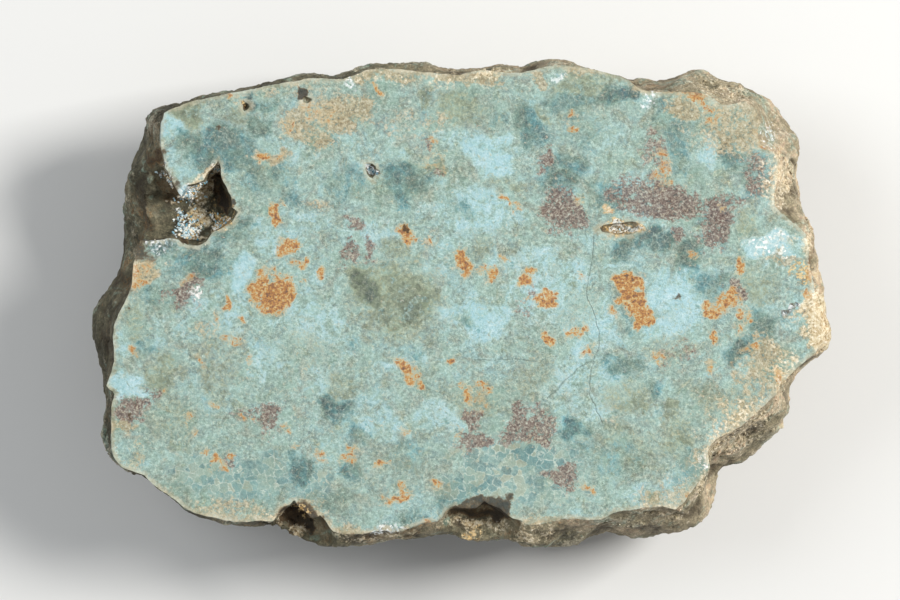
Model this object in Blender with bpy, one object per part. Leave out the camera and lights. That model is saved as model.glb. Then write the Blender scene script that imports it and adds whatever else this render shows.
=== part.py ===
"""Rough chrysoprase stone with one sawn face, lying on its broken back.

The stone is a single solid. Rings follow its outline from the resting spot at the back, out to the
widest line, and in again to the edge of the sawn face. Lumps and break faces then roughen them, and
cutters make the sawn face, the flat resting spot, the crystal-lined hollow and the smaller pits.
+X runs along the stone, +Z points out of the sawn face, and the origin is under the middle.
"""
import math

import bmesh
import bpy
from mathutils import Vector, noise

MM = 0.001

# Driving dimensions of the stone, in millimetres
LENGTH = 111.4
WIDTH = 73.6
THICKNESS = 28.0

# The stone's widest outline seen from above, in millimetres from its middle, anticlockwise from the
# upper left corner
OUTLINE = (
    (-47.3, 28.4), (-47.9, 26.4), (-48.3, 24.3), (-49.2, 22.1), (-50.3, 19.7), (-50.9, 17.6),
    (-50.6, 16.4), (-51.3, 13.8), (-51.2, 10.1), (-51.3, 7.2), (-51.9, 4.8), (-53.4, 2.3),
    (-54.8, 0.5), (-55.5, -1.6), (-55.7, -3.7), (-55.1, -7.0), (-54.5, -10.0), (-54.0, -12.0),
    (-54.8, -13.2), (-53.7, -15.0), (-53.9, -18.7), (-53.4, -21.0), (-52.4, -23.2), (-50.3, -25.0),
    (-48.0, -25.5), (-46.2, -27.3), (-42.8, -29.7), (-40.7, -31.6), (-36.8, -32.7), (-34.1, -33.7),
    (-31.1, -33.7), (-29.0, -32.8), (-27.0, -33.4), (-25.8, -34.6), (-22.5, -36.0), (-19.4, -36.4),
    (-14.6, -36.1), (-10.5, -35.1), (-8.0, -35.7), (-6.2, -35.2), (-2.9, -34.5), (-0.9, -34.5),
    (0.1, -35.7), (3.6, -35.5), (7.0, -35.4), (9.1, -36.4), (11.8, -36.7), (16.0, -36.3),
    (19.6, -35.7), (22.8, -34.3), (24.1, -35.1), (28.5, -35.2), (34.3, -34.0), (37.2, -31.9),
    (38.2, -29.2), (39.1, -25.2), (40.9, -24.3), (42.9, -23.8), (46.3, -20.5), (48.1, -18.6),
    (48.6, -17.2), (49.8, -15.6), (49.5, -13.9), (48.9, -13.6), (49.3, -12.9), (50.2, -11.1),
    (52.6, -8.8), (54.7, -7.2), (55.6, -5.5), (55.6, -4.0), (55.0, -2.2), (54.4, 0.9), (53.5, 5.7),
    (53.1, 9.5), (52.6, 11.6), (51.0, 14.4), (51.0, 17.0), (50.4, 18.3), (50.4, 20.3), (51.3, 22.1),
    (50.8, 24.8), (49.9, 26.3), (48.7, 28.2), (47.1, 30.5), (44.4, 32.1), (42.4, 33.5), (38.1, 34.2),
    (36.9, 35.3), (34.9, 35.3), (32.2, 34.2), (28.6, 33.9), (25.3, 34.2), (21.7, 35.0), (17.5, 35.9),
    (15.1, 36.8), (12.3, 36.5), (10.3, 36.2), (8.4, 35.3), (5.4, 35.9), (3.6, 35.3), (-0.9, 35.1),
    (-4.1, 35.3), (-6.2, 36.2), (-8.6, 35.7), (-11.0, 36.3), (-14.3, 35.9), (-18.6, 34.2),
    (-23.0, 34.4), (-26.3, 33.9), (-30.0, 33.0), (-33.2, 32.1), (-36.6, 31.8), (-39.5, 31.4),
    (-42.8, 30.2), (-44.7, 29.6),
)

# The edge of the sawn face, in the same way. The hollow and the two notches are cut into it later.
FACE_EDGE = (
    (-44.7, 28.5), (-45.0, 26.3), (-44.9, 22.8), (-44.4, 20.9), (-45.5, 17.0), (-46.5, 15.3),
    (-46.7, 12.5), (-47.9, 10.1), (-49.2, 6.5), (-49.5, 3.3), (-50.1, 1.2), (-51.2, -1.0),
    (-52.1, -2.8), (-52.4, -5.5), (-52.1, -8.1), (-52.8, -10.9), (-53.3, -12.3), (-51.9, -13.6),
    (-52.5, -15.1), (-52.5, -18.3), (-52.1, -22.9), (-50.0, -24.9), (-47.9, -25.3), (-45.8, -27.3),
    (-42.6, -29.4), (-40.4, -31.2), (-36.3, -32.1), (-33.2, -32.7), (-28.4, -32.5), (-19.7, -33.9),
    (-15.5, -34.6), (-12.2, -34.0), (-9.3, -34.2), (-6.6, -33.0), (-3.5, -32.4), (8.7, -32.4),
    (10.3, -33.0), (13.3, -32.4), (16.5, -32.1), (20.4, -32.5), (23.5, -31.2), (30.1, -30.4),
    (32.7, -30.9), (34.8, -27.7), (37.3, -25.0), (36.9, -22.3), (38.4, -20.1), (41.5, -18.9),
    (45.1, -15.6), (47.2, -13.9), (48.1, -12.0), (50.7, -9.4), (53.1, -7.5), (54.1, -6.1),
    (54.0, -3.7), (53.1, -0.7), (52.6, 2.7), (52.0, 6.2), (51.7, 9.5), (50.4, 11.4), (48.1, 13.2),
    (46.6, 15.0), (47.2, 18.5), (47.5, 22.2), (45.4, 23.1), (44.4, 24.9), (44.5, 28.1), (43.2, 30.2),
    (40.9, 29.4), (39.0, 29.7), (37.0, 31.2), (34.3, 31.7), (28.3, 31.7), (26.2, 32.4), (24.1, 34.1),
    (17.8, 35.3), (12.0, 35.4), (8.5, 34.7), (2.5, 35.0), (-0.9, 34.2), (-4.1, 34.7), (-11.0, 35.3),
    (-14.3, 35.0), (-17.4, 33.8), (-23.0, 33.8), (-29.9, 32.4), (-33.2, 31.7), (-39.5, 30.6),
    (-42.5, 29.7),
)

# The rings: points in each, rings of the back, and the wall's curve above the widest line as
# (share of the height, share of the way in to the face's edge). The last one is above the saw cut.
RING_POINTS = 172
BACK_RINGS = 15
WALL_PROFILE = (
    (0.18, 0.03), (0.36, 0.12), (0.54, 0.28), (0.7, 0.48), (0.85, 0.72), (1.0, 1.0), (1.1, 1.04),
)
LEAST_OVERHANG = 0.15

# The back narrows to this share of the outline, at this share of the widest line's height. Lower down
# it loses the outline's small corners, which are averaged over this many neighbours on each side.
FOOT_SHARE = 0.12
FOOT_DROP = -0.1
OUTLINE_SPREAD = 9

# Height of the widest line at compass directions round the stone, in degrees and millimetres
GIRDLE_HEIGHTS = (
    (0, 22), (25, 19), (50, 16), (90, 24), (125, 21), (150, 16), (180, 12), (205, 16), (235, 22),
    (262, 13), (290, 18), (325, 10), (345, 17),
)

# Break faces of the back: direction and slope below the horizon in degrees, height where each starts
BREAK_FACES = (
    (8, 34, 14), (42, 50, 12), (75, 40, 16), (118, 30, 14), (156, 46, 9), (190, 34, 8),
    (222, 48, 13), (251, 30, 9), (293, 42, 11), (328, 44, 7),
)
BREAK_DEPTH = 0.88
BREAK_FADE = 4.0

# Hollow scars left by flakes, as (size, depth) in millimetres, with ridges where they meet
FLAKES = ((23.0, 5.0), (9.0, 1.5))
FLAKE_LEVEL = 0.25

# Lumps of the rough rind as (size, height) in millimetres, and its small ledges
LUMPS = ((17.0, 2.6), (7.5, 1.3), (3.4, 0.6))
LEDGE_SIZE = 12.0
LEDGE_STEPS = 3.0
LEDGE_HEIGHT = 0.9
LEDGE_STEEPNESS = 4.0

# Distances over which the roughness fades out: below the face's edge, either side of the widest line,
# and in towards the middle of the resting spot
RIM_FADE = 5.0
GIRDLE_FADE = 6.0
FOOT_FADE = 22.0
LEAST_ROUGHNESS = 0.04
NOISE_SEED = 7.3

# The hollow with crystals at the upper left, open to the left, and its deepest point and depth
HOLLOW = (
    (-42.1, 15.8), (-41.6, 16.9), (-41.1, 17.9), (-39.9, 18.0), (-38.7, 18.5), (-38.0, 19.7),
    (-36.9, 20.6), (-36.5, 21.3), (-36.2, 20.3), (-36.0, 18.8), (-35.2, 17.4), (-34.5, 15.9),
    (-34.5, 14.4), (-33.6, 13.7), (-34.4, 12.2), (-36.0, 11.3), (-37.2, 10.7), (-38.3, 9.2),
    (-39.5, 8.6), (-40.8, 8.6), (-42.5, 9.5), (-44.0, 9.9), (-46.4, 9.3), (-53.0, 9.8),
    (-53.0, 16.3), (-47.0, 16.6), (-43.7, 16.2),
)
HOLLOW_DEEPEST = (-36.4, 15.4)
HOLLOW_DEPTH = 6.2

# The shallower recess beside it, which breaks out over the stone's left wall
RECESS = (
    (-46.5, 20.9), (-44.7, 20.7), (-44.0, 19.7), (-43.4, 18.5), (-42.6, 17.0), (-41.6, 15.5),
    (-41.0, 13.0), (-43.7, 11.6), (-46.7, 11.4), (-53.0, 12.0), (-53.0, 17.0), (-47.3, 17.9),
    (-47.1, 19.4),
)
RECESS_DEEPEST = (-44.7, 17.6)
RECESS_DEPTH = 3.6

# Two notches in the lower edge of the face
LEFT_NOTCH = (
    (-29.1, -33.0), (-28.2, -32.5), (-27.5, -31.5), (-27.0, -30.7), (-25.8, -30.0), (-25.2, -29.5),
    (-24.9, -29.4), (-24.6, -30.0), (-24.2, -30.7), (-23.4, -31.2), (-22.4, -32.1), (-21.5, -31.9),
    (-21.2, -31.7), (-20.6, -32.2), (-19.8, -33.4), (-19.2, -34.0), (-18.6, -36.7), (-24.2, -38.3),
    (-28.4, -36.9),
)
LEFT_NOTCH_DEEPEST = (-23.1, -32.9)
LEFT_NOTCH_DEPTH = 5.0
RIGHT_NOTCH = (
    (-3.6, -32.4), (-3.0, -31.8), (-2.7, -31.2), (-1.5, -30.3), (-0.9, -30.2), (-0.2, -30.5),
    (1.0, -30.6), (2.2, -30.6), (2.8, -30.1), (3.4, -29.5), (4.0, -30.0), (4.8, -30.3),
    (5.7, -30.6), (6.3, -31.2), (7.6, -32.1), (9.1, -32.5), (9.0, -36.3), (2.5, -38.3), (-3.0, -36.9),
)
RIGHT_NOTCH_DEEPEST = (2.2, -31.9)
RIGHT_NOTCH_DEPTH = 4.5

# Small pits in the sawn face: middle, half length, half width, turn in degrees, depth
PITS = (
    ("golden", (24.0, 11.3), 3.2, 1.0, 4, 1.6),
    ("brown", (-23.2, 30.5), 0.8, 0.6, 10, 1.5),
    ("amber", (-32.3, 29.5), 0.7, 0.5, 70, 1.0),
    ("sparkling", (-13.6, 19.9), 1.3, 0.8, 105, 1.2),
)

# A pit's outline: points, and how far it swells from an oval
PIT_POINTS = 10
PIT_SWELL = 0.16

# Bowl-shaped cutters: the floor's share of the outline, the tip below it, and the height and size of
# the floor's lumps, all as shares of the outline or of the depth
BOWL_FLOOR = 0.22
BOWL_TIP = 1.08
BOWL_LUMP_HEIGHT = 0.12
BOWL_LUMP_SIZE = 0.7

# Grid on the flat cutters, their height, and how far any cutter stands above the face
CUTTER_GRID = 8.0
CUTTER_HEIGHT = 9.0
CUTTER_CLEARANCE = 2.0


def clear_scene():
    """Remove whatever the new file holds."""
    for old in list(bpy.data.objects):
        bpy.data.objects.remove(old, do_unlink=True)


def smooth_curve(points, steps):
    """A closed curve through the points, with so many steps from each to the next."""
    curve = []
    count = len(points)
    for i in range(count):
        before = Vector(points[i - 1])
        start = Vector(points[i])
        end = Vector(points[(i + 1) % count])
        after = Vector(points[(i + 2) % count])
        for step in range(steps):
            t = step / steps
            linear = (end - before) * t
            square = (2 * before - 5 * start + 4 * end - after) * t ** 2
            cube = (3 * start - before - 3 * end + after) * t ** 3
            curve.append(0.5 * (2 * start + linear + square + cube))
    return curve


def interpolate(table, x, period=None):
    """Read a table of (x, value) pairs at x, in straight lines, round a circle if it has a period."""
    pairs = sorted(table)
    if period:
        first, last = pairs[0], pairs[-1]
        pairs = [(last[0] - period, last[1])] + pairs + [(first[0] + period, first[1])]
        x = (x - pairs[1][0]) % period + pairs[1][0]
    for (x0, y0), (x1, y1) in zip(pairs, pairs[1:]):
        if x <= x1:
            return y0 + (y1 - y0) * (x - x0) / max(x1 - x0, 1e-9)
    return pairs[-1][1]


def by_angle(points):
    """The radius of an outline round the middle, as a table of (angle in degrees, radius)."""
    curve = smooth_curve(points, 4)
    return [(math.degrees(math.atan2(p.y, p.x)) % 360, p.length) for p in curve]


def even_angles(points, count):
    """Angles at which the outline has points the same distance apart."""
    curve = smooth_curve(points, 8)
    lengths = [0.0]
    for here, there in zip(curve, curve[1:] + curve[:1]):
        lengths.append(lengths[-1] + (there - here).length)
    start = math.degrees(math.atan2(curve[0].y, curve[0].x))
    turns = [(math.degrees(math.atan2(p.y, p.x)) - start) % 360 for p in curve] + [360.0]
    table = list(zip(lengths, turns))
    return [(start + interpolate(table, lengths[-1] * i / count)) % 360 for i in range(count)]


def lump(point, size, seed):
    """Smooth noise, about -1 to 1, with lumps of the given size."""
    shift = Vector((seed, seed * 1.7, seed * 2.9))
    return noise.noise(point / size + shift)


def loft(name, rings, bottom, top):
    """A closed solid through rings of points, in millimetres, with a point at each end."""
    mesh = bpy.data.meshes.new(name)
    bm = bmesh.new()
    levels = [[bm.verts.new(point) for point in ring] for ring in rings]
    low = bm.verts.new(bottom)
    high = bm.verts.new(top)
    count = len(rings[0])
    for i in range(count):
        j = (i + 1) % count
        bm.faces.new((low, levels[0][j], levels[0][i]))
        bm.faces.new((high, levels[-1][i], levels[-1][j]))
        for under, over in zip(levels, levels[1:]):
            bm.faces.new((under[i], under[j], over[j], over[i]))
    bmesh.ops.recalc_face_normals(bm, faces=bm.faces)
    bm.to_mesh(mesh)
    bm.free()
    solid = bpy.data.objects.new(name, mesh)
    bpy.context.collection.objects.link(solid)
    return solid


def spread(values, reach):
    """Smooth a closed row of values over so many neighbours on each side."""
    count = len(values)
    width = 2 * reach + 1
    return [sum(values[(i + k) % count] for k in range(-reach, reach + 1)) / width for i in range(count)]


def ring_at(angles, radii, heights):
    """A ring of points from its angles, radii and heights."""
    ring = []
    for angle, radius, height in zip(angles, radii, heights):
        turn = math.radians(angle)
        ring.append(Vector((radius * math.cos(turn), radius * math.sin(turn), height)))
    return ring


def stone_rings():
    """The smooth form of the stone: the back, the widest line, the wall and the face's edge."""
    outline = by_angle(OUTLINE)
    face = by_angle(FACE_EDGE)
    angles = even_angles(OUTLINE, RING_POINTS)
    wide = [interpolate(outline, a, 360) for a in angles]
    narrow = [min(interpolate(face, a, 360), w - LEAST_OVERHANG) for a, w in zip(angles, wide)]
    girdle = [interpolate(GIRDLE_HEIGHTS, a, 360) for a in angles]
    calm = spread(wide, OUTLINE_SPREAD)
    rings = []
    for k in range(BACK_RINGS):
        climb = math.radians(90 * k / (BACK_RINGS - 1))
        share = FOOT_SHARE + (1 - FOOT_SHARE) * math.sin(climb)
        rise = FOOT_DROP + (1 - FOOT_DROP) * (1 - math.cos(climb))
        detail = max(0.0, rise) ** 2
        radii = [share * (c + (w - c) * detail) for c, w in zip(calm, wide)]
        rings.append(ring_at(angles, radii, [g * rise for g in girdle]))
    for rise, way in WALL_PROFILE:
        radii = [w + (n - w) * way for w, n in zip(wide, narrow)]
        rings.append(ring_at(angles, radii, [g + (THICKNESS - g) * rise for g in girdle]))
    return rings


def freedom(point, girdle):
    """How far a point may move: hardly on the measured lines and the foot, all the way elsewhere."""
    to_rim = abs(point.z - THICKNESS) / RIM_FADE
    to_girdle = abs(point.z - girdle) / GIRDLE_FADE
    from_axis = point.xy.length / FOOT_FADE
    return LEAST_ROUGHNESS + (1 - LEAST_ROUGHNESS) * min(1.0, to_rim, to_girdle, from_axis)


def break_back(point, outline, girdle):
    """Slice the back below the widest line along its break faces, leaving each a little rounded."""
    for direction, slope, start in BREAK_FACES:
        turn = math.radians(direction)
        tilt = math.radians(slope)
        outwards = Vector((math.cos(turn), math.sin(turn), 0.0))
        normal = outwards * math.cos(tilt) - Vector((0.0, 0.0, math.sin(tilt)))
        corner = outwards * interpolate(outline, direction, 360) + Vector((0.0, 0.0, start))
        over = (point - corner).dot(normal)
        fade = min(1.0, max(0.0, (girdle - point.z) / BREAK_FADE))
        if over > 0:
            point = point - normal * over * BREAK_DEPTH * fade
    return point


def roughness(point):
    """Height of the flake scars, ledges and lumps at a point."""
    height = sum(lump(point, size, NOISE_SEED + i) * high for i, (size, high) in enumerate(LUMPS))
    for size, depth in FLAKES:
        nearest = noise.voronoi(point / size)[0][0]
        height += depth * (nearest * nearest - FLAKE_LEVEL)
    climb = lump(point, LEDGE_SIZE, -NOISE_SEED) * LEDGE_STEPS
    ledge = math.floor(climb) + min(1.0, (climb % 1.0) * LEDGE_STEEPNESS)
    return height + ledge / LEDGE_STEPS * LEDGE_HEIGHT


def bearing(point):
    """Direction of a point from the stone's middle, in degrees."""
    return math.degrees(math.atan2(point.y, point.x)) % 360


def roughen(stone):
    """Break faces, scars, ledges and lumps over the wall and the back, inside the outline."""
    outline = by_angle(OUTLINE)
    mesh = stone.data
    girdles = [interpolate(GIRDLE_HEIGHTS, bearing(vertex.co), 360) for vertex in mesh.vertices]
    for vertex, girdle in zip(mesh.vertices, girdles):
        vertex.co = break_back(vertex.co.copy(), outline, girdle)
    mesh.update()
    normals = [vertex.normal.copy() for vertex in mesh.vertices]
    for vertex, normal, girdle in zip(mesh.vertices, normals, girdles):
        point = vertex.co + normal * roughness(vertex.co) * freedom(vertex.co, girdle)
        reach = interpolate(outline, bearing(point), 360)
        if point.xy.length > reach:
            point.xy = point.xy.normalized() * reach
        vertex.co = point
    mesh.update()


def hide_cutter(cutter):
    """Keep a cutter out of the model."""
    cutter.hide_render = True
    cutter.display_type = "WIRE"


def block_cutter(name, low, high):
    """A block wider than the stone between two heights, with a grid on its flat faces."""
    half_x = LENGTH / 2 + CUTTER_GRID
    half_y = WIDTH / 2 + CUTTER_GRID
    mesh = bpy.data.meshes.new(name)
    bm = bmesh.new()
    across = round(2 * half_x / CUTTER_GRID)
    along = round(2 * half_y / CUTTER_GRID)
    bmesh.ops.create_grid(bm, x_segments=across, y_segments=along, size=1.0)
    for vertex in bm.verts:
        vertex.co = Vector((vertex.co.x * half_x, vertex.co.y * half_y, low))
    lifted = bmesh.ops.extrude_face_region(bm, geom=bm.faces[:])["geom"]
    for part in lifted:
        if isinstance(part, bmesh.types.BMVert):
            part.co.z = high
    bmesh.ops.recalc_face_normals(bm, faces=bm.faces)
    bm.to_mesh(mesh)
    bm.free()
    cutter = bpy.data.objects.new(name, mesh)
    bpy.context.collection.objects.link(cutter)
    hide_cutter(cutter)
    return cutter


def bowl_cutter(name, outline, deepest, depth, levels):
    """A bowl under a closed outline in the sawn face, with its deepest point where it is given."""
    middle = Vector((deepest[0], deepest[1], 0.0))
    rings = []
    for level in range(levels):
        share = level / levels
        size = max(BOWL_FLOOR, math.sqrt(1 - (1 - share) ** 2))
        ring = []
        for x, y in outline:
            point = middle + (Vector((x, y, 0.0)) - middle) * size
            point.z = THICKNESS - depth * (1 - share)
            bump = lump(point, depth * BOWL_LUMP_SIZE, NOISE_SEED) * depth * BOWL_LUMP_HEIGHT
            point.z += bump * (1 - share)
            ring.append(point)
        rings.append(ring)
    rings.append([Vector((x, y, THICKNESS)) for x, y in outline])
    rings.append([Vector((x, y, THICKNESS + CUTTER_CLEARANCE)) for x, y in outline])
    bottom = middle + Vector((0.0, 0.0, THICKNESS - depth * BOWL_TIP))
    top = middle + Vector((0.0, 0.0, THICKNESS + CUTTER_CLEARANCE))
    cutter = loft(name, rings, bottom, top)
    hide_cutter(cutter)
    return cutter


def pit_outline(middle, half_length, half_width, turn_degrees):
    """A lumpy oval."""
    turn = math.radians(turn_degrees)
    points = []
    for i in range(PIT_POINTS):
        around = math.tau * i / PIT_POINTS
        swell = 1 + PIT_SWELL * math.sin(3 * around + middle[0])
        along = half_length * swell * math.cos(around)
        across = half_width * swell * math.sin(around)
        x = middle[0] + along * math.cos(turn) - across * math.sin(turn)
        y = middle[1] + along * math.sin(turn) + across * math.cos(turn)
        points.append((x, y))
    return points


def cut(stone, cutter):
    """Take the cutter out of the stone."""
    modifier = stone.modifiers.new(cutter.name, "BOOLEAN")
    modifier.operation = "DIFFERENCE"
    modifier.object = cutter
    modifier.solver = "EXACT"


def chalcedony():
    """Waxy, milky blue-green of the sawn stone."""
    material = bpy.data.materials.new("chrysoprase")
    material.use_nodes = True
    shader = material.node_tree.nodes["Principled BSDF"]
    shader.inputs["Base Color"].default_value = (0.42, 0.56, 0.52, 1.0)
    shader.inputs["Roughness"].default_value = 0.38
    shader.inputs["Metallic"].default_value = 0.0
    return material


def fit_to_size(stone):
    """The scale that gives the outline its length and width, and the outline's middle."""
    xs = [vertex.co.x for vertex in stone.data.vertices]
    ys = [vertex.co.y for vertex in stone.data.vertices]
    scale = Vector((LENGTH / (max(xs) - min(xs)), WIDTH / (max(ys) - min(ys)), 1.0))
    middle = Vector(((max(xs) + min(xs)) / 2, (max(ys) + min(ys)) / 2, 0.0))
    return scale, middle


def place(piece, scale, middle):
    """Fit a piece's mesh in the way of the stone, and turn millimetres into metres."""
    for vertex in piece.data.vertices:
        point = vertex.co - middle
        vertex.co = Vector((point.x * scale.x, point.y * scale.y, point.z)) * MM
    piece.data.update()


def make_stone():
    """The stone with all its cuts."""
    rings = stone_rings()
    low = Vector((0.0, 0.0, min(point.z for point in rings[0])))
    high = Vector((0.0, 0.0, THICKNESS + CUTTER_CLEARANCE))
    stone = loft("chrysoprase", rings, low, high)
    roughen(stone)
    scale, middle = fit_to_size(stone)

    cutters = [
        block_cutter("saw_cut", THICKNESS, THICKNESS + CUTTER_HEIGHT),
        block_cutter("resting_cut", -CUTTER_HEIGHT, 0.0),
        bowl_cutter("hollow_cut", HOLLOW, HOLLOW_DEEPEST, HOLLOW_DEPTH, 5),
        bowl_cutter("recess_cut", RECESS, RECESS_DEEPEST, RECESS_DEPTH, 4),
        bowl_cutter("left_notch_cut", LEFT_NOTCH, LEFT_NOTCH_DEEPEST, LEFT_NOTCH_DEPTH, 4),
        bowl_cutter("right_notch_cut", RIGHT_NOTCH, RIGHT_NOTCH_DEEPEST, RIGHT_NOTCH_DEPTH, 4),
    ]
    for name, pit_middle, half_length, half_width, turn, depth in PITS:
        outline = pit_outline(pit_middle, half_length, half_width, turn)
        cutters.append(bowl_cutter(name + "_pit_cut", outline, pit_middle, depth, 3))

    place(stone, scale, middle)
    for cutter in cutters:
        place(cutter, scale, middle)
        cut(stone, cutter)
    stone.data.materials.append(chalcedony())
    stone.data.shade_smooth()
    stone.data.set_sharp_from_angle(angle=math.radians(35))
    return stone


clear_scene()
make_stone()
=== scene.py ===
# %% [markdown]
# # A chrysoprase specimen
# Chrysoprase is chalcedony, a fine-grained quartz, that nickel has coloured green. This one is a rough
# lump with one sawn and lightly polished face. The face shows clouds of blue-green and milky stone,
# rust from iron, brown granular patches and a small hollow lined with quartz crystals. The wall and
# the back are the broken rind.
#
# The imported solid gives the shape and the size. This script builds a finer copy of it, paints the
# clouds and veins, and grows the small crystals.

import math

import bmesh
import bpy
import numpy as np
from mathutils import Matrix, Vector, geometry, kdtree, noise


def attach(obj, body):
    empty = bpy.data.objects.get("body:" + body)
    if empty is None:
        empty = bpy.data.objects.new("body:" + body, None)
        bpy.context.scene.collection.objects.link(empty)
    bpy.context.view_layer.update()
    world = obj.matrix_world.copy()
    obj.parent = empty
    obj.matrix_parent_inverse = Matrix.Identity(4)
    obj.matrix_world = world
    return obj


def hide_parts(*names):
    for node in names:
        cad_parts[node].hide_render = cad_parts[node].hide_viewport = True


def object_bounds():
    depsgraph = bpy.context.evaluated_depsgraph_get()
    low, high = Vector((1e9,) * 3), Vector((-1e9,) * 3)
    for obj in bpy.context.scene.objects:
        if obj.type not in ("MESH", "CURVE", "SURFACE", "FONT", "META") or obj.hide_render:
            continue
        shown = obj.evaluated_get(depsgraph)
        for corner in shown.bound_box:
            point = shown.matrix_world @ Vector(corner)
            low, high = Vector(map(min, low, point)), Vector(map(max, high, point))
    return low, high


MM = 0.001
NOISE_SEED = 5
# Without a seed, noise_vector takes its offsets from the clock and every run differs.
noise.seed_set(NOISE_SEED)
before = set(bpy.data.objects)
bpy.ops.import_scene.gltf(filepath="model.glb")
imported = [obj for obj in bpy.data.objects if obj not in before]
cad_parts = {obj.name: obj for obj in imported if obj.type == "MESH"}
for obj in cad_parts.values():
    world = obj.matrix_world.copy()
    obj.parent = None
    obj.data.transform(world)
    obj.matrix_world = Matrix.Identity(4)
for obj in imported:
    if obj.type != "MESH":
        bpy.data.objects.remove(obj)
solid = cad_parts["chrysoprase"]
cad_box = [list(corner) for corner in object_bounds()]
FACE_HEIGHT = cad_box[1][2] / MM
print("solid box in mm:", [[round(value / MM, 2) for value in corner] for corner in cad_box])

# %% [markdown]
# ## The broken wall and back
# The solid has facets about two millimetres wide. A rock has detail at every size, so the copy gets
# finer triangles. Edges that are too long are cut in half, three times over, and the foot stays
# coarse because nobody sees it. The sawn face is taken off first and made again later, because a flat
# face wants evenly spaced points and a wall doesn't.

# %% Cut the wall into small triangles
WALL_EDGE = 0.82
FOOT_EDGE = 1.7
FOOT_HEIGHT = 3.0


def fine_wall():
    """The solid without its sawn face, in millimetres, with small triangles."""
    wall = bmesh.new()
    wall.from_mesh(solid.data)
    bmesh.ops.remove_doubles(wall, verts=wall.verts, dist=0.001 * MM)
    for vertex in wall.verts:
        vertex.co /= MM
    sawn = [f for f in wall.faces if min(v.co.z for v in f.verts) > FACE_HEIGHT - 0.001]
    bmesh.ops.delete(wall, geom=sawn, context="FACES")
    for _ in range(3):
        long_edges = []
        for edge in wall.edges:
            low = max(vertex.co.z for vertex in edge.verts)
            longest = WALL_EDGE if low > FOOT_HEIGHT else FOOT_EDGE
            if low > 0.001 and edge.calc_length() > longest:
                long_edges.append(edge)
        bmesh.ops.subdivide_edges(wall, edges=long_edges, cuts=1)
        bmesh.ops.triangulate(wall, faces=wall.faces)
    bmesh.ops.beautify_fill(wall, faces=wall.faces, edges=wall.edges)
    wall.normal_update()
    return wall


wall = fine_wall()
wall.verts.index_update()
points = np.array([vertex.co for vertex in wall.verts])
normals = np.array([vertex.normal for vertex in wall.verts])
edges = np.array([[v.index for v in edge.verts] for edge in wall.edges])
rim_edges = np.array([[v.index for v in edge.verts] for edge in wall.edges if edge.is_boundary])
wall_faces = np.array([[v.index for v in face.verts] for face in wall.faces])
wall.free()
print("wall:", len(points), "points and", len(wall_faces), "triangles")

# %% [markdown]
# Cutting edges in half leaves the old facets in place. Moving each point a little towards the middle
# of its neighbours rounds them off. Points on the rim of the sawn face and on the resting spot stay
# where they are, so the stone keeps its size and its footing.

# %% Round off the old facets
ROUNDS = 5


def relaxed(points, edges, held, rounds):
    """Points moved towards the middle of their neighbours, apart from those that are held."""
    count = np.bincount(edges.ravel(), minlength=len(points))[:, None]
    for _ in range(rounds):
        total = np.zeros_like(points)
        np.add.at(total, edges[:, 0], points[edges[:, 1]])
        np.add.at(total, edges[:, 1], points[edges[:, 0]])
        moved = points + 0.5 * (total / count - points)
        points = np.where(held[:, None], points, moved)
    return points


on_rim = np.zeros(len(points), bool)
on_rim[rim_edges.ravel()] = True
on_foot = points[:, 2] < 0.001
points = relaxed(points, edges, on_rim | on_foot, ROUNDS)
print("held points:", int(on_rim.sum()), "on the rim and", int(on_foot.sum()), "on the foot")

# %% [markdown]
# ## Roughness of the rind
# Broken chalcedony has three kinds of relief: lumps a few millimetres across, patches of crumbly
# grains with creases between them, and smooth shell-shaped breaks. Noise makes the lumps. The distance
# to the nearest of many scattered points makes the grains, because it is lowest in each grain's middle.
# Every point also keeps its height above the local surface, so that the finish can paint shade in the
# low places and a paler painted highlight on the high ones.

# %% Roughen the wall
LUMP_SIZE = 5.5
LUMP_HEIGHT = 0.55
GRAIN_SIZE = 1.25
GRAIN_HEIGHT = 0.5
CHIP_SIZE = 2.6
CHIP_DEPTH = 0.45
FINE_SIZE = 0.7
FINE_HEIGHT = 0.09
RIM_CALM = 1.6


def crumbly(point):
    """How crumbly the rind is at a point, from 0 to 1."""
    return min(1.0, max(0.0, 0.55 + 1.3 * noise.noise(point / 13.0 + Vector((3.1, 0.0, 8.2)))))


def rock_height(point):
    """Height of the rough surface above the smooth one, in millimetres."""
    lumps = noise.fractal(point / LUMP_SIZE, 0.9, 2.1, 3)
    grain = 0.55 - noise.voronoi(point / GRAIN_SIZE)[0][0]
    nearest, second = noise.voronoi(point / CHIP_SIZE + Vector((9.0, 4.0, 1.0)))[0][:2]
    crease = max(0.0, 0.22 - (second - nearest)) / 0.22
    fine = noise.fractal(point / FINE_SIZE, 0.7, 2.0, 2)
    loose = crumbly(point)
    height = LUMP_HEIGHT * lumps + FINE_HEIGHT * fine
    return height + loose * GRAIN_HEIGHT * grain - (1.2 - loose) * CHIP_DEPTH * crease ** 2


heights = np.array([rock_height(Vector(point)) for point in points])
to_rim = np.clip((FACE_HEIGHT - points[:, 2]) / RIM_CALM, 0.0, 1.0)
to_foot = np.clip(points[:, 2] / FOOT_HEIGHT, 0.0, 1.0)
strength = (0.3 + 0.7 * to_rim) * to_foot
push = normals * np.array([1.0, 1.0, 0.0]) + normals * np.array([0.0, 0.0, 1.0]) * to_rim[:, None]
points = points + push * (heights * strength)[:, None]
points[on_rim, 2] = FACE_HEIGHT
points[:, 2] = np.minimum(points[:, 2], FACE_HEIGHT)
points = np.clip(points, np.array(cad_box[0]) / MM, np.array(cad_box[1]) / MM)
relief = heights / np.abs(heights).max()
print("relief from", round(float(heights.min()), 2), "to", round(float(heights.max()), 2), "mm")

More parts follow.
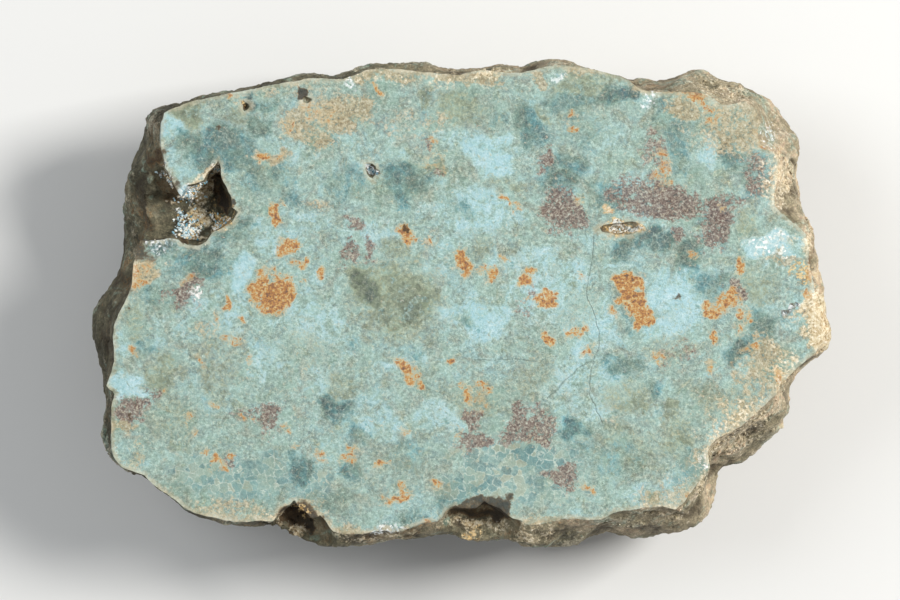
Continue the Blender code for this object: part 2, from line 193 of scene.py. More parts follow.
# %% [markdown]
# ## The sawn face
# The face is flat, but its colours change every half millimetre, and the marks painted on it are kept
# in its points. So it needs many points, spread evenly. A Delaunay triangulation joins a honeycomb of
# points to the ragged rim, and leaves the pits open. The two healed cracks go in as chains of points,
# which keeps them sharp.

# %% Fill the sawn face
FACE_STEP = 0.425
RIM_GAP = 0.24
CRACK_STEP = 0.3
CRACKS = (
    ((19.9, 10.1), (19.6, 6.6), (18.9, 2.7), (18.9, 0.6), (19.9, -1.6), (20.7, -4.2), (20.7, -6.3),
     (19.9, -8.5), (19.3, -10.8), (19.2, -13.5), (20.4, -16.3), (21.1, -18.0)),
    ((19.9, -8.5), (17.7, -9.7), (15.1, -12.0), (12.9, -14.2)),
    ((1.6, -8.4), (4.0, -8.6), (7.5, -8.4), (10.9, -8.7)),
)


def chain(corners, step):
    """Points a step apart along a line with corners, wavering a little."""
    line = [Vector(corners[0])]
    for start, end in zip(corners, corners[1:]):
        start, end = Vector(start), Vector(end)
        count = max(1, round((end - start).length / step))
        line += [start.lerp(end, i / count) for i in range(1, count + 1)]
    return np.array([p + noise.noise_vector(p.to_3d() * 0.9).xy * 0.22 for p in line])


def inside(places, corners, ends):
    """Which places have an odd number of rim edges to their right, and so are on the face."""
    odd = np.zeros(len(places), bool)
    for (x0, y0), (x1, y1) in zip(corners, ends):
        if y0 == y1:
            continue
        crosses = (y0 > places[:, 1]) != (y1 > places[:, 1])
        reach = x0 + (places[:, 1] - y0) * (x1 - x0) / (y1 - y0)
        odd ^= crosses & (places[:, 0] < reach)
    return odd


def honeycomb(low, high, step, seed):
    """Evenly spaced places between two corners, each moved a little."""
    rows = np.arange(low[1], high[1], step * math.sqrt(3) / 2)
    grid = []
    for i, y in enumerate(rows):
        xs = np.arange(low[0] + (i % 2) * step / 2, high[0], step)
        grid.append(np.stack([xs, np.full(len(xs), y)], axis=1))
    grid = np.concatenate(grid)
    return grid + np.random.default_rng(seed).uniform(-0.1, 0.1, grid.shape) * step


def distance_to(places, targets):
    """Distance from each place to the nearest target."""
    tree = kdtree.KDTree(len(targets))
    for i, target in enumerate(targets):
        tree.insert((target[0], target[1], 0.0), i)
    tree.balance()
    return np.array([tree.find((x, y, 0.0))[2] for x, y in places])


rim_start = points[rim_edges[:, 0], :2]
rim_end = points[rim_edges[:, 1], :2]
rim_index = np.unique(rim_edges)
rim = points[rim_index, :2]
cracks = [chain(corners, CRACK_STEP) for corners in CRACKS]
crack_points = np.concatenate(cracks)
crack_points = crack_points[inside(crack_points, rim_start, rim_end)]

grid = honeycomb(rim.min(axis=0), rim.max(axis=0), FACE_STEP, seed=4)
grid = grid[inside(grid, rim_start, rim_end)]
grid = grid[distance_to(grid, rim) > RIM_GAP]
grid = grid[distance_to(grid, crack_points) > CRACK_STEP * 0.6]

flat = np.concatenate([rim, crack_points, grid])
place_of = {int(index): i for i, index in enumerate(rim_index)}
walls_of_face = [(place_of[int(a)], place_of[int(b)]) for a, b in rim_edges]
filled = geometry.delaunay_2d_cdt([Vector(p) for p in flat], walls_of_face, [], 0, 1e-6)
flat_points, _, flat_faces, origins = filled[:4]
number = [int(rim_index[o[0]]) if o and o[0] < len(rim) else -1 for o in origins]
fresh = [i for i, n in enumerate(number) if n < 0]
for i, n in zip(fresh, range(len(points), len(points) + len(fresh))):
    number[i] = n
face_points = np.array([(flat_points[i].x, flat_points[i].y, FACE_HEIGHT) for i in fresh])
face_faces = np.array([[number[i] for i in face] for face in flat_faces])
middles = np.array([sum((flat_points[i] for i in face), Vector((0.0, 0.0))) / 3 for face in flat_faces])
on_face = inside(middles, rim_start, rim_end)
face_faces = face_faces[on_face]
print("face:", len(face_points), "points and", len(face_faces), "triangles")

# %% Join the wall and the face into one mesh
all_points = np.concatenate([points, face_points])
all_faces = np.concatenate([wall_faces, face_faces])
first_face_point = len(points)


def make_mesh(name, places, faces):
    """A plain mesh object at the origin from places in millimetres."""
    mesh = bpy.data.meshes.new(name)
    mesh.from_pydata((places * MM).tolist(), [], faces.tolist())
    mesh.validate()
    made = bpy.data.objects.new(name, mesh)
    bpy.context.collection.objects.link(made)
    return made


stone = make_mesh("stone", all_points, all_faces)
stone.data.shade_smooth()
stone.data.set_sharp_from_angle(angle=math.radians(50))
print("stone:", len(stone.data.polygons), "triangles")

# %% [markdown]
# ## Where each colour goes
# The clouds and veins of a real stone sit in certain places, so they are placed one by one. Each mark is
# an oval on the face: its middle, its two half widths, its turn in degrees and how strongly the colour
# shows there. The ovals are never seen. Every point is first shifted by noise, which frays their
# edges, and later the finish breaks them up again with finer noise. A mark's value is kept in the
# stone's points as an attribute, one for each kind of colour.

# %% Blue-green clouds and olive clouds
TEAL = (
    (-36.3, 22.5, 4.0, 3.4, -20, 0.75), (-41.4, 23.6, 2.2, 1.8, 0, 0.55),
    (-30.8, 26.4, 1.8, 1.3, 20, 0.7), (-28.4, 30.0, 1.5, 1.3, 0, 0.6), (-30.9, 30.3, 1.2, 1.7, 0, 1),
    (-21.0, 26.1, 1.9, 1.3, 0, 0.6), (-8.7, 17.9, 2.9, 3.3, 35, 0.8), (-6.9, 17.0, 1.5, 1.5, 0, 0.55),
    (10.0, 26.7, 2.4, 4.0, 0, 0.7), (15.3, 19.5, 3.4, 3.4, 0, 0.6), (23.8, 31.2, 3.3, 1.6, 10, 0.85),
    (32.4, 23.3, 2.2, 3.6, 0, 0.65), (40.7, 23.3, 1.6, 3.0, 0, 0.85), (35.7, 12.8, 1.3, 1.1, 0, 0.7),
    (28.3, 9.6, 2.7, 1.6, 0, 0.8), (25.3, 8.3, 2.2, 1.5, 0, 0.75), (30.0, 9.6, 1.1, 1.2, 0, 0.9),
    (34.5, 7.5, 2.2, 2.9, 0, 0.8), (39.4, 8.9, 1.2, 0.9, 0, 0.7), (38.8, 12.0, 1.1, 1.3, 0, 0.9),
    (-40.1, 5.8, 4.5, 2.9, -12, 0.7), (-45.5, 1.4, 2.4, 2.1, 0, 0.6), (-45.2, 9.3, 1.5, 1.6, 0, 0.85),
    (-19.2, -16.3, 2.5, 2.4, 40, 0.95), (-16.3, -19.8, 1.9, 1.5, 0, 0.5),
    (-23.7, -25.0, 1.7, 2.4, 0, 0.85), (-17.1, -25.4, 2.0, 1.4, 0, 0.75),
    (16.6, -18.9, 1.8, 1.6, 0, 0.85), (9.4, -23.1, 4.0, 1.9, 0, 0.7), (9.9, -25.5, 0.9, 0.8, 0, 0.9),
    (-0.2, -28.2, 3.6, 2.3, 0, 0.7), (35.1, -24.7, 3.4, 3.0, -30, 0.7), (45.2, -4.5, 2.8, 3.3, 0, 0.6),
    (41.6, -7.2, 1.4, 2.2, 60, 1), (37.2, 2.9, 2.9, 2.1, 0, 0.45), (23.8, -9.6, 3.0, 1.9, 0, 0.45),
    (28.7, -12.3, 1.9, 1.5, 0, 0.4), (-34.7, 11.0, 4.5, 2.2, 0, 0.5),
    (-28.7, 18.1, 4.5, 2.6, -10, 0.45), (-17.4, 18.1, 2.2, 2.6, 0, 0.4),
    (-26.4, 16.6, 2.2, 1.9, 0, 0.4), (-0.9, 14.7, 2.2, 1.5, 0, 0.3), (0.6, -2.5, 1.5, 1.5, 0, 0.5),
    (17.8, -22.8, 3.0, 2.2, 0, 0.4), (23.8, -23.5, 3.0, 3.0, 0, 0.4), (-9.2, -23.5, 3.0, 3.0, 0, 0.35),
    (-30.2, -25.8, 4.5, 3.8, 0, 0.45), (-38.4, -25.8, 3.8, 3.0, 0, 0.35),
    (-19.7, -29.5, 4.5, 2.2, 0, 0.45), (-6.9, -32.5, 3.8, 1.5, 0, 0.4), (26.8, -1.8, 3.0, 2.2, 0, 0.35),
    (-47.4, -5.5, 2.2, 1.5, 0, 0.3), (15.9, 30.5, 3.4, 2.2, 0, 0.55), (30.6, 27.1, 2.2, 1.9, 0, 0.5),
    (44.1, 19.8, 3.0, 3.1, 0, 0.5), (37.5, 28.6, 1.6, 1.9, 0, 0.4), (5.1, 28.6, 2.2, 1.9, 0, 0.4),
    (17.8, 26.0, 3.0, 3.0, 0, 0.35), (-14.1, 29.0, 2.6, 1.5, 0, 0.3), (-31.5, 20.7, 1.6, 1.5, 0, 0.5),
    (-45.0, 13.4, 1.6, 2.1, 0, 0.8), (-17.1, -5.5, 2.6, 1.5, 0, 0.25), (21.9, 15.9, 2.6, 2.6, 0, 0.5),
    (-7.7, -7.8, 2.2, 1.5, 0, 0.25), (38.8, 15.9, 3.0, 1.1, 0, 0.5),
)
OLIVE = (
    (-41.1, 27.9, 2.2, 2.2, -30, 0.6), (-9.8, 0.3, 6.3, 5.8, -15, 0.55),
    (-14.1, 2.1, 2.5, 3.4, 20, 0.95), (-14.3, 1.2, 0.9, 1.3, 0, 1.15), (-5.1, 20.5, 3.4, 1.4, 0, 0.55),
    (9.2, 17.9, 1.7, 1.2, 0, 0.5), (17.1, 32.0, 4.0, 3.3, 0, 0.5), (18.6, 31.9, 1.1, 0.7, 0, 0.9),
    (-5.1, 31.2, 1.4, 1.8, 0, 0.6), (-44.8, -10.5, 2.8, 3.4, 0, 0.45), (43.1, 12.2, 1.9, 3.0, 0, 0.4),
    (32.2, -15.4, 0.9, 0.9, 0, 0.6), (28.0, -15.9, 0.9, 1.0, 0, 0.55), (25.8, -14.7, 1.0, 1.0, 0, 0.5),
    (25.8, -23.7, 1.1, 1.0, 0, 0.6), (33.3, -20.3, 1.1, 1.0, 0, 0.6), (29.5, -28.5, 0.9, 1.1, 0, 0.6),
    (11.9, 29.0, 0.8, 0.9, 0, 0.7), (12.6, 27.9, 0.8, 0.8, 0, 0.6), (-7.3, -1.4, 1.9, 1.9, 0, 0.8),
    (-32.8, 27.5, 2.6, 1.5, 0, 0.35), (-16.7, -12.3, 3.0, 2.2, 0, 0.35),
    (25.3, -14.5, 4.5, 3.0, 0, 0.35), (32.1, -20.5, 3.8, 4.5, 0, 0.4), (24.6, -22.0, 3.8, 3.0, 0, 0.3),
    (44.8, 2.0, 3.0, 3.0, 0, 0.4), (-23.4, -7.0, 3.8, 3.0, 0, 0.25), (-0.2, 29.0, 3.0, 3.0, 0, 0.4),
    (3.6, 8.7, 2.2, 2.2, 0, 0.3), (-28.7, 20.0, 3.0, 1.5, 0, 0.45), (5.8, 19.2, 3.0, 1.5, 0, 0.3),
    (30.6, -7.0, 3.8, 3.0, 0, 0.3), (21.2, 34.6, 1.9, 1.9, 0, 0.4), (40.3, -14.5, 4.5, 3.0, 0, 0.3),
    (-36.2, -9.3, 3.0, 5.2, 0, 0.3), (-43.7, -17.1, 4.5, 3.4, 0, 0.25),
    (10.3, -11.5, 4.5, 3.0, 0, 0.25), (17.8, -1.0, 3.0, 3.0, 0, 0.2), (-9.6, 7.8, 1.9, 1.6, 0, 0.4),
    (-48.9, -2.5, 2.2, 3.0, 0, 0.35), (2.4, -14.5, 3.4, 3.0, 0, 0.3),
)

# %% Milky stone, brown grains and tan crust
MILK = (
    (-43.7, 26.1, 1.8, 1.9, 0, 0.9), (4.8, 22.8, 4.0, 3.4, 0, 0.8), (-33.6, 4.1, 2.5, 2.9, 0, 0.9),
    (-50.3, -11.7, 2.9, 2.2, 0, 0.9), (46.7, 7.6, 4.4, 2.2, 0, 0.9), (-36.2, -0.6, 6.0, 3.4, 0, 0.5),
    (-35.7, -4.0, 3.4, 2.2, 0, 0.6), (-21.6, -5.5, 4.9, 9.0, 0, 0.5), (1.7, 14.4, 7.1, 4.1, 0, 0.6),
    (12.6, 2.7, 6.8, 6.8, 0, 0.6), (2.8, -2.1, 6.0, 4.1, 0, 0.7), (31.3, -0.3, 4.5, 6.0, 0, 0.7),
    (37.5, 23.0, 1.6, 3.8, 0, 0.5), (19.3, -4.0, 4.5, 4.5, 0, 0.6), (-25.7, 22.6, 6.0, 1.9, 0, 0.4),
    (-9.2, -9.3, 6.0, 3.0, 0, 0.4), (-28.7, -8.5, 4.5, 3.0, 0, 0.5), (19.7, -13.8, 7.1, 5.2, 0, 0.55),
    (29.8, -28.8, 6.0, 3.8, 0, 0.45), (40.3, -17.5, 4.5, 3.0, 0, 0.5), (-12.2, -17.5, 6.0, 3.0, 0, 0.4),
    (-2.4, -17.5, 3.8, 3.0, 0, 0.5), (-24.2, 11.0, 3.0, 3.0, 0, 0.45), (-28.7, 9.7, 3.0, 3.5, 0, 0.5),
    (-4.7, 5.7, 3.0, 2.2, 0, 0.4), (23.8, 5.7, 3.0, 1.5, 0, 0.6), (50.1, 13.1, 2.2, 2.4, 0, 0.5),
    (30.6, -31.4, 3.8, 1.9, 0, 0.3), (10.3, -28.8, 4.5, 2.2, 0, 0.3), (47.8, -1.0, 3.0, 3.0, 0, 0.35),
    (0.6, 24.5, 5.2, 3.0, 0, 0.45), (-8.4, 24.5, 1.5, 3.0, 0, 0.4), (-43.7, -4.0, 3.0, 3.0, 0, 0.4),
    (-50.4, -6.3, 2.2, 2.2, 0, 0.5), (-12.2, 11.0, 3.0, 3.0, 0, 0.45),
    (-36.6, -15.3, 2.6, 2.2, 0, 0.35), (-26.4, -1.0, 2.2, 3.0, 0, 0.4), (22.3, 25.2, 1.5, 2.2, 0, 0.4),
    (28.7, 21.9, 1.9, 1.1, 0, 0.4),
)
MAUVE = (
    (15.2, 13.5, 3.5, 3.4, 0, 0.85), (30.3, 15.8, 6.8, 3.0, -8, 0.9), (23.1, 16.6, 2.2, 1.1, 0, 0.6),
    (28.6, 22.9, 1.8, 3.7, 0, 0.6), (35.4, 15.9, 1.4, 2.9, 0, 0.75), (38.4, 11.4, 3.1, 3.6, 20, 0.9),
    (31.8, 10.5, 1.3, 1.4, 0, 0.75), (-15.6, 12.2, 1.7, 1.5, 0, 0.85), (-16.7, 7.3, 1.5, 2.0, 0, 0.75),
    (-13.2, 8.0, 1.1, 1.8, 0, 0.6), (-41.7, 1.6, 2.6, 2.5, 0, 0.8), (-50.1, -15.6, 2.7, 2.4, 0, 0.8),
    (-29.1, -16.7, 2.6, 2.5, -20, 0.75), (-32.4, -16.3, 1.9, 1.2, 0, 0.55),
    (2.3, -20.7, 2.0, 1.9, 0, 0.85), (2.5, -16.9, 0.9, 2.1, 0, 0.85), (10.1, -18.9, 4.1, 2.2, 20, 0.8),
    (8.4, -16.2, 1.1, 1.1, 0, 0.7), (15.4, -25.6, 2.9, 1.8, 0, 0.75), (41.1, 1.8, 1.9, 1.6, 0, 0.9),
    (12.0, 21.4, 1.6, 2.0, 0, 0.75), (-5.3, 23.9, 0.9, 0.8, 0, 0.7), (9.7, -0.1, 1.5, 2.9, 0, 0.45),
    (32.4, -7.9, 2.6, 2.1, 0, 0.4), (44.4, 19.8, 2.9, 3.3, 0, 0.55), (-4.3, 19.6, 1.9, 1.1, 0, 0.5),
    (-33.9, -22.8, 1.5, 1.5, 0, 0.7), (47.1, 25.2, 2.2, 2.2, 0, 0.5), (-46.7, -13.0, 1.5, 1.5, 0, 0.5),
    (-28.2, -19.4, 4.0, 1.1, 0, 0.4), (38.8, 15.5, 3.0, 1.5, 0, 0.7),
)
TAN = (
    (-23.6, 26.1, 4.0, 2.2, 0, 0.75), (-17.5, 28.9, 4.1, 2.6, 0, 0.8), (-12.6, 31.5, 0.8, 1.3, 0, 0.9),
    (-29.1, 21.8, 3.8, 1.1, -3, 0.85), (-21.9, 15.2, 2.3, 1.3, 0, 0.5), (-3.0, 27.0, 2.6, 1.3, 0, 0.5),
    (-39.1, -4.4, 1.7, 1.6, 0, 0.5), (-35.4, -31.2, 7.2, 2.5, 0, 0.6), (-51.3, -18.6, 1.3, 1.3, 0, 0.8),
    (45.4, -9.3, 3.3, 3.7, 0, 0.75), (41.4, -11.4, 0.9, 1.8, 0, 0.7), (37.2, -10.1, 1.8, 1.4, 0, 0.75),
    (48.0, 6.4, 3.1, 0.7, 0, 0.85), (32.9, 28.2, 1.7, 1.9, 0, 0.8), (-47.8, 4.5, 1.6, 2.4, 0, 0.9),
    (49.2, 18.9, 1.9, 4.4, 0, 0.85), (43.2, -19.6, 6.5, 5.7, -40, 0.7), (2.8, 33.8, 4.5, 1.2, 0, 0.85),
    (11.4, 33.9, 1.4, 1.3, 0, 0.85), (28.7, 32.7, 3.7, 1.1, 0, 0.85), (42.6, 27.5, 8.2, 4.5, 20, 0.65),
    (46.3, 26.0, 4.5, 3.0, 0, 0.75), (24.2, 11.1, 3.4, 1.1, 0, 0.9), (53.2, -3.3, 2.4, 3.8, 0, 0.9),
    (-12.9, -34.4, 6.8, 1.9, 0, 0.8), (17.8, -34.0, 9.0, 2.2, 0, 0.75), (32.4, -30.3, 5.6, 3.8, 0, 0.6),
    (-24.2, -32.5, 4.5, 3.0, 0, 0.7), (36.6, -23.5, 2.2, 3.0, 0, 0.5), (-1.7, 34.1, 3.0, 1.2, 0, 0.8),
    (-11.4, 34.4, 6.8, 1.5, 0, 0.75), (-24.6, 32.3, 6.4, 1.5, 0, 0.4), (-32.3, 29.7, 2.4, 1.1, 0, 0.5),
    (-8.1, 26.4, 2.6, 1.9, 0, 0.35), (-46.3, -28.0, 1.9, 1.5, 0, 0.4), (-52.7, -22.8, 1.5, 2.2, 0, 0.5),
    (17.8, 35.7, 3.0, 1.1, 0, 0.6), (-4.7, 9.1, 1.5, 1.1, 0, 0.5), (22.7, -18.3, 1.9, 1.5, 0, 0.3),
    (43.3, -27.3, 3.0, 2.2, 0, 0.6),
)

# %% Rust, and areas where the quartz shows as round cells
RUST = (
    (-27.3, 13.4, 0.8, 1.1, 0, 0.9), (-26.2, 8.8, 1.6, 1.1, 0, 0.75), (-30.3, 1.2, 1.1, 1.3, 0, 0.75),
    (-27.8, 2.3, 2.1, 2.7, 0, 0.95), (-29.2, 3.8, 1.3, 0.9, 0, 0.7), (-23.7, 5.8, 1.1, 0.7, 0, 0.7),
    (-21.3, 3.9, 0.8, 0.8, 0, 0.7), (-24.2, 2.7, 0.6, 0.6, 0, 0.6), (-34.5, 0.3, 0.8, 0.8, 0, 0.8),
    (-32.6, -2.1, 0.8, 0.8, 0, 0.65), (-38.7, -8.3, 0.8, 0.8, 0, 0.55), (-31.5, -8.6, 0.8, 0.7, 0, 0.5),
    (-44.7, -12.4, 0.8, 0.8, 0, 0.6), (-49.2, -6.0, 0.8, 0.8, 0, 0.6), (-32.7, -16.4, 0.8, 0.7, 0, 0.6),
    (-35.9, -14.9, 0.8, 0.7, 0, 0.5), (-8.1, 10.5, 1.6, 1.6, 0, 0.75), (-7.8, 11.1, 0.9, 0.8, 0, 1),
    (-4.1, 9.0, 0.6, 0.7, 0, 0.7), (-0.1, 6.7, 1.4, 1.9, 35, 0.95), (3.0, 5.3, 1.9, 0.9, 15, 0.45),
    (4.9, 4.1, 0.9, 1.2, 0, 0.85), (9.5, 3.8, 1.0, 1.1, 0, 0.85), (11.1, 5.3, 0.9, 0.9, 0, 0.85),
    (7.6, 6.3, 0.8, 0.6, 0, 0.6), (12.5, -0.0, 1.9, 1.0, 0, 0.9), (12.4, -5.7, 0.9, 1.1, 0, 0.85),
    (17.7, -4.3, 1.1, 1.1, 0, 0.75), (16.0, -4.3, 0.9, 0.9, 0, 0.65), (19.2, -7.9, 0.8, 0.8, 0, 0.55),
    (17.7, 3.8, 0.8, 0.8, 0, 0.5), (6.1, 15.2, 0.6, 1.6, 20, 0.75), (7.5, 14.4, 1.0, 0.7, 0, 0.6),
    (-8.0, -10.5, 2.1, 1.3, -10, 0.85), (-1.5, -9.1, 0.8, 0.8, 0, 0.7), (-5.7, -12.0, 0.8, 0.8, 0, 0.6),
    (1.3, -13.2, 0.9, 0.8, 0, 0.65), (3.0, -12.6, 0.6, 0.8, 0, 0.55), (25.6, 2.6, 1.5, 2.1, 0, 1),
    (25.9, -0.6, 2.4, 1.3, 0, 0.95), (27.9, -1.8, 1.6, 1.1, 0, 0.85), (22.6, -1.9, 0.8, 0.8, 0, 0.5),
    (37.1, -0.5, 1.4, 1.1, 0, 0.9), (39.6, 0.2, 1.9, 1.5, 0, 0.7), (42.0, 4.7, 1.0, 1.2, 0, 0.9),
    (42.9, -3.0, 0.8, 1.1, 0, 0.75), (41.3, -3.0, 1.3, 1.9, 0, 0.55), (38.7, 14.6, 0.4, 1.2, 0, 0.6),
    (35.7, 7.1, 0.8, 0.8, 0, 0.5), (37.5, -4.9, 0.8, 0.8, 0, 0.7), (30.7, -8.7, 0.8, 0.8, 0, 0.6),
    (29.2, 21.5, 1.2, 1.8, 0, 0.5), (30.7, 18.8, 0.8, 0.8, 0, 0.5), (-33.5, -21.9, 0.8, 0.8, 0, 0.7),
    (-36.5, -22.8, 0.9, 0.9, 0, 0.7), (-35.1, -24.0, 0.8, 0.8, 0, 0.6),
    (-40.1, -17.4, 0.8, 0.8, 0, 0.5), (-39.0, -19.4, 0.8, 0.7, 0, 0.5),
    (-38.7, -21.6, 0.8, 0.7, 0, 0.6), (-23.9, -21.3, 0.8, 0.8, 0, 0.6),
    (-17.0, -22.4, 0.8, 0.7, 0, 0.6), (-12.8, -24.6, 0.8, 0.7, 0, 0.6),
    (-20.6, -22.8, 0.8, 0.8, 0, 0.5), (-17.3, -24.0, 1.5, 0.6, 0, 0.55),
    (-25.7, -19.2, 0.8, 0.8, 0, 0.5), (-9.3, -28.8, 2.0, 0.8, 0, 0.7), (-7.2, -19.3, 0.8, 0.8, 0, 0.5),
    (-4.2, -26.6, 1.1, 0.7, 0, 0.6), (19.2, -27.1, 0.8, 0.8, 0, 0.6), (-5.1, -32.5, 1.1, 0.6, 0, 0.7),
    (33.7, -29.2, 0.8, 0.8, 0, 0.6), (36.1, -31.5, 0.8, 0.8, 0, 0.6), (30.0, -33.0, 0.8, 0.8, 0, 0.5),
    (34.6, 31.4, 2.7, 1.8, -20, 0.8), (46.8, 25.4, 2.8, 2.4, 0, 0.7), (50.2, 16.9, 0.9, 1.1, 0, 0.8),
    (52.7, 7.9, 0.5, 2.5, 0, 0.85), (53.1, 4.5, 0.6, 1.3, 0, 0.9), (52.6, 1.5, 0.8, 1.3, 0, 0.8),
    (53.8, -3.6, 0.6, 0.8, 0, 0.9), (-12.7, 31.5, 0.7, 1.2, 0, 0.85), (-31.1, 21.9, 1.2, 0.8, 0, 0.75),
    (-27.8, 21.8, 2.1, 0.6, 0, 0.55), (-35.1, 29.6, 0.6, 0.6, 0, 0.6), (16.3, 27.2, 0.6, 0.6, 0, 0.5),
    (16.6, 28.7, 0.6, 0.6, 0, 0.5), (-47.9, 4.1, 1.2, 2.1, 0, 0.7), (47.7, -10.8, 1.1, 1.6, 0, 0.8),
    (42.9, -7.2, 1.9, 1.0, 20, 0.5), (37.1, -10.3, 1.1, 0.9, 0, 0.65), (-4.7, 24.2, 0.9, 0.9, 0, 0.5),
    (-2.7, 21.3, 0.4, 1.6, 0, 0.4), (-5.1, 21.6, 1.9, 1.3, 0, 0.35), (-42.3, 3.4, 1.6, 0.7, 0, 0.5),
    (-26.0, 26.4, 1.8, 1.1, 30, 0.4), (-21.2, 29.0, 3.0, 1.5, 0, 0.4), (-16.7, 33.8, 0.3, 1.2, 0, 0.6),
    (-5.4, 35.1, 0.8, 1.1, 0, 0.6), (0.4, -20.1, 0.6, 1.3, 0, 0.5), (2.8, -14.7, 0.6, 1.3, 0, 0.4),
    (-35.4, -5.8, 2.2, 0.6, 0, 0.45), (-37.4, -3.3, 0.6, 2.2, 0, 0.4), (-33.3, -4.2, 0.4, 2.0, 0, 0.35),
    (32.1, 31.4, 3.8, 0.9, 0, 0.55), (37.3, 29.0, 3.0, 2.2, 0, 0.4), (25.3, 11.4, 1.5, 0.8, 0, 0.6),
    (22.2, 14.3, 0.8, 0.9, 0, 0.6), (17.8, 15.5, 1.5, 0.8, 0, 0.4), (-48.3, -22.8, 1.6, 2.2, 0, 0.3),
    (-21.2, 24.7, 1.5, 0.5, 0, 0.6),
)
CELLS = (
    (-34.1, -25.6, 8.7, 3.6, 0, 0.9), (7.8, -25.8, 11.8, 6.2, 0, 0.9), (-21.2, -26.4, 1.3, 1.9, 0, 0.8),
    (35.0, -24.9, 3.5, 2.9, 0, 0.8), (-11.9, -26.5, 7.8, 6.0, 0, 0.45),
    (26.1, -26.5, 6.8, 6.0, 0, 0.35), (16.3, 28.2, 4.5, 3.8, 0, 0.35), (32.1, 23.7, 3.8, 3.8, 0, 0.4),
    (-36.2, 22.6, 3.8, 3.4, 0, 0.3), (43.3, 21.5, 4.5, 4.5, 0, 0.4), (-21.9, -28.8, 2.2, 2.2, 0, 0.6),
    (-45.9, -18.3, 3.8, 3.8, 0, 0.35),
)

# %% The colours of the hollow, the notches and the rind
UMBER = (
    (-37.0, 18.0, 1.1, 3.1, 0, 0.85), (-35.2, 16.1, 0.8, 1.8, 0, 1.1),
    (-45.7, 21.5, 1.3, 1.8, 20, 0.75), (-43.8, 17.3, 2.9, 2.7, 0, 0.6), (-44.0, 18.5, 1.2, 1.5, 0, 0.5),
    (-41.6, 9.7, 1.2, 0.7, 0, 0.9), (-24.9, -31.8, 2.9, 1.9, 0, 0.85), (-24.2, -31.6, 0.9, 1.1, 0, 1),
    (-22.8, -33.0, 1.1, 1.3, 0, 1.15), (-20.4, -34.2, 1.7, 2.2, 0, 0.5),
    (0.7, -30.9, 2.7, 1.1, 0, 0.85), (4.6, -30.7, 2.2, 1.3, 0, 1.05), (8.4, -34.0, 2.9, 2.4, 0, 0.45),
    (-49.7, 9.7, 3.0, 3.8, 25, 0.8), (-53.0, 3.3, 1.8, 2.9, 30, 0.55), (-50.2, 4.2, 1.3, 3.8, 0, 0.5),
    (-46.1, 25.8, 0.9, 2.9, 0, 0.5), (-23.1, 30.6, 0.9, 0.7, 0, 1.2), (-32.2, 29.6, 0.5, 0.8, 0, 1),
    (-13.5, 19.8, 1.1, 1.4, 0, 0.8), (32.4, 1.8, 0.5, 0.5, 0, 0.7), (-7.8, 11.2, 0.8, 0.7, 0, 0.9),
    (-49.7, -1.2, 0.4, 0.4, 0, 0.7), (-49.8, -16.9, 0.5, 0.4, 0, 0.7), (50.3, -0.6, 1.0, 0.9, 0, 0.7),
    (-36.9, 25.2, 0.4, 0.4, 0, 0.7), (52.6, 8.0, 0.9, 2.7, 0, 0.6), (-48.2, -23.5, 3.0, 3.0, 0, 0.25),
    (-11.8, -34.4, 6.4, 1.9, 0, 0.5), (-53.3, -16.4, 0.9, 4.1, 0, 0.4), (-40.2, 23.7, 0.4, 0.4, 0, 0.6),
    (29.8, 32.9, 3.0, 0.9, 0, 0.5), (2.4, 34.7, 3.4, 0.6, 0, 0.45),
)
CREAM = (
    (-37.5, 18.2, 1.1, 3.3, -20, 0.75), (-38.5, 16.2, 1.1, 1.6, 0, 0.8),
    (-40.2, 13.5, 2.3, 1.6, 0, 0.9), (-40.7, 10.4, 2.5, 1.1, -20, 0.8),
    (-44.2, 15.7, 1.7, 0.8, 0, 0.55), (-41.3, 11.6, 2.1, 1.3, 0, 0.45),
    (-36.4, 11.7, 2.0, 1.1, 10, 0.5), (-25.2, -33.6, 1.3, 0.9, 0, 0.8), (2.1, -32.9, 4.0, 1.3, 0, 0.8),
    (-28.6, -31.9, 2.2, 1.5, 0, 0.45), (1.5, -34.9, 2.3, 0.9, 0, 0.5), (-12.6, -35.1, 7.1, 1.3, 0, 0.5),
    (10.7, -34.5, 4.1, 1.9, 0, 0.45), (22.3, -34.2, 7.5, 1.3, 0, 0.35), (53.5, -2.5, 2.4, 4.8, 0, 0.85),
    (53.8, -4.8, 2.1, 2.5, 0, 1), (42.7, -20.7, 6.9, 6.5, -40, 0.5), (48.6, -10.5, 2.2, 3.2, 0, 0.6),
    (47.5, 18.5, 3.3, 4.5, 0, 0.5), (51.9, 9.9, 1.1, 3.4, 0, 0.6), (47.2, 8.0, 3.9, 1.8, 0, 0.4),
    (22.0, 14.4, 0.6, 0.8, 0, 0.7), (-2.9, 33.5, 2.4, 2.1, 0, 0.45), (4.3, 34.8, 3.8, 1.3, 0, 0.6),
    (40.3, 32.6, 6.0, 2.1, 0, 0.45), (-45.0, 7.1, 1.6, 0.9, 0, 0.3), (-40.1, 0.6, 0.8, 0.9, 0, 0.5),
    (36.9, -27.6, 1.1, 1.9, 0, 0.6), (-10.6, 33.2, 2.2, 1.5, 0, 0.4), (-48.3, 5.0, 1.6, 2.2, 0, 0.3),
    (31.3, -31.9, 4.5, 2.4, 0, 0.35), (-14.7, 35.0, 1.3, 1.5, 0, 0.5),
)
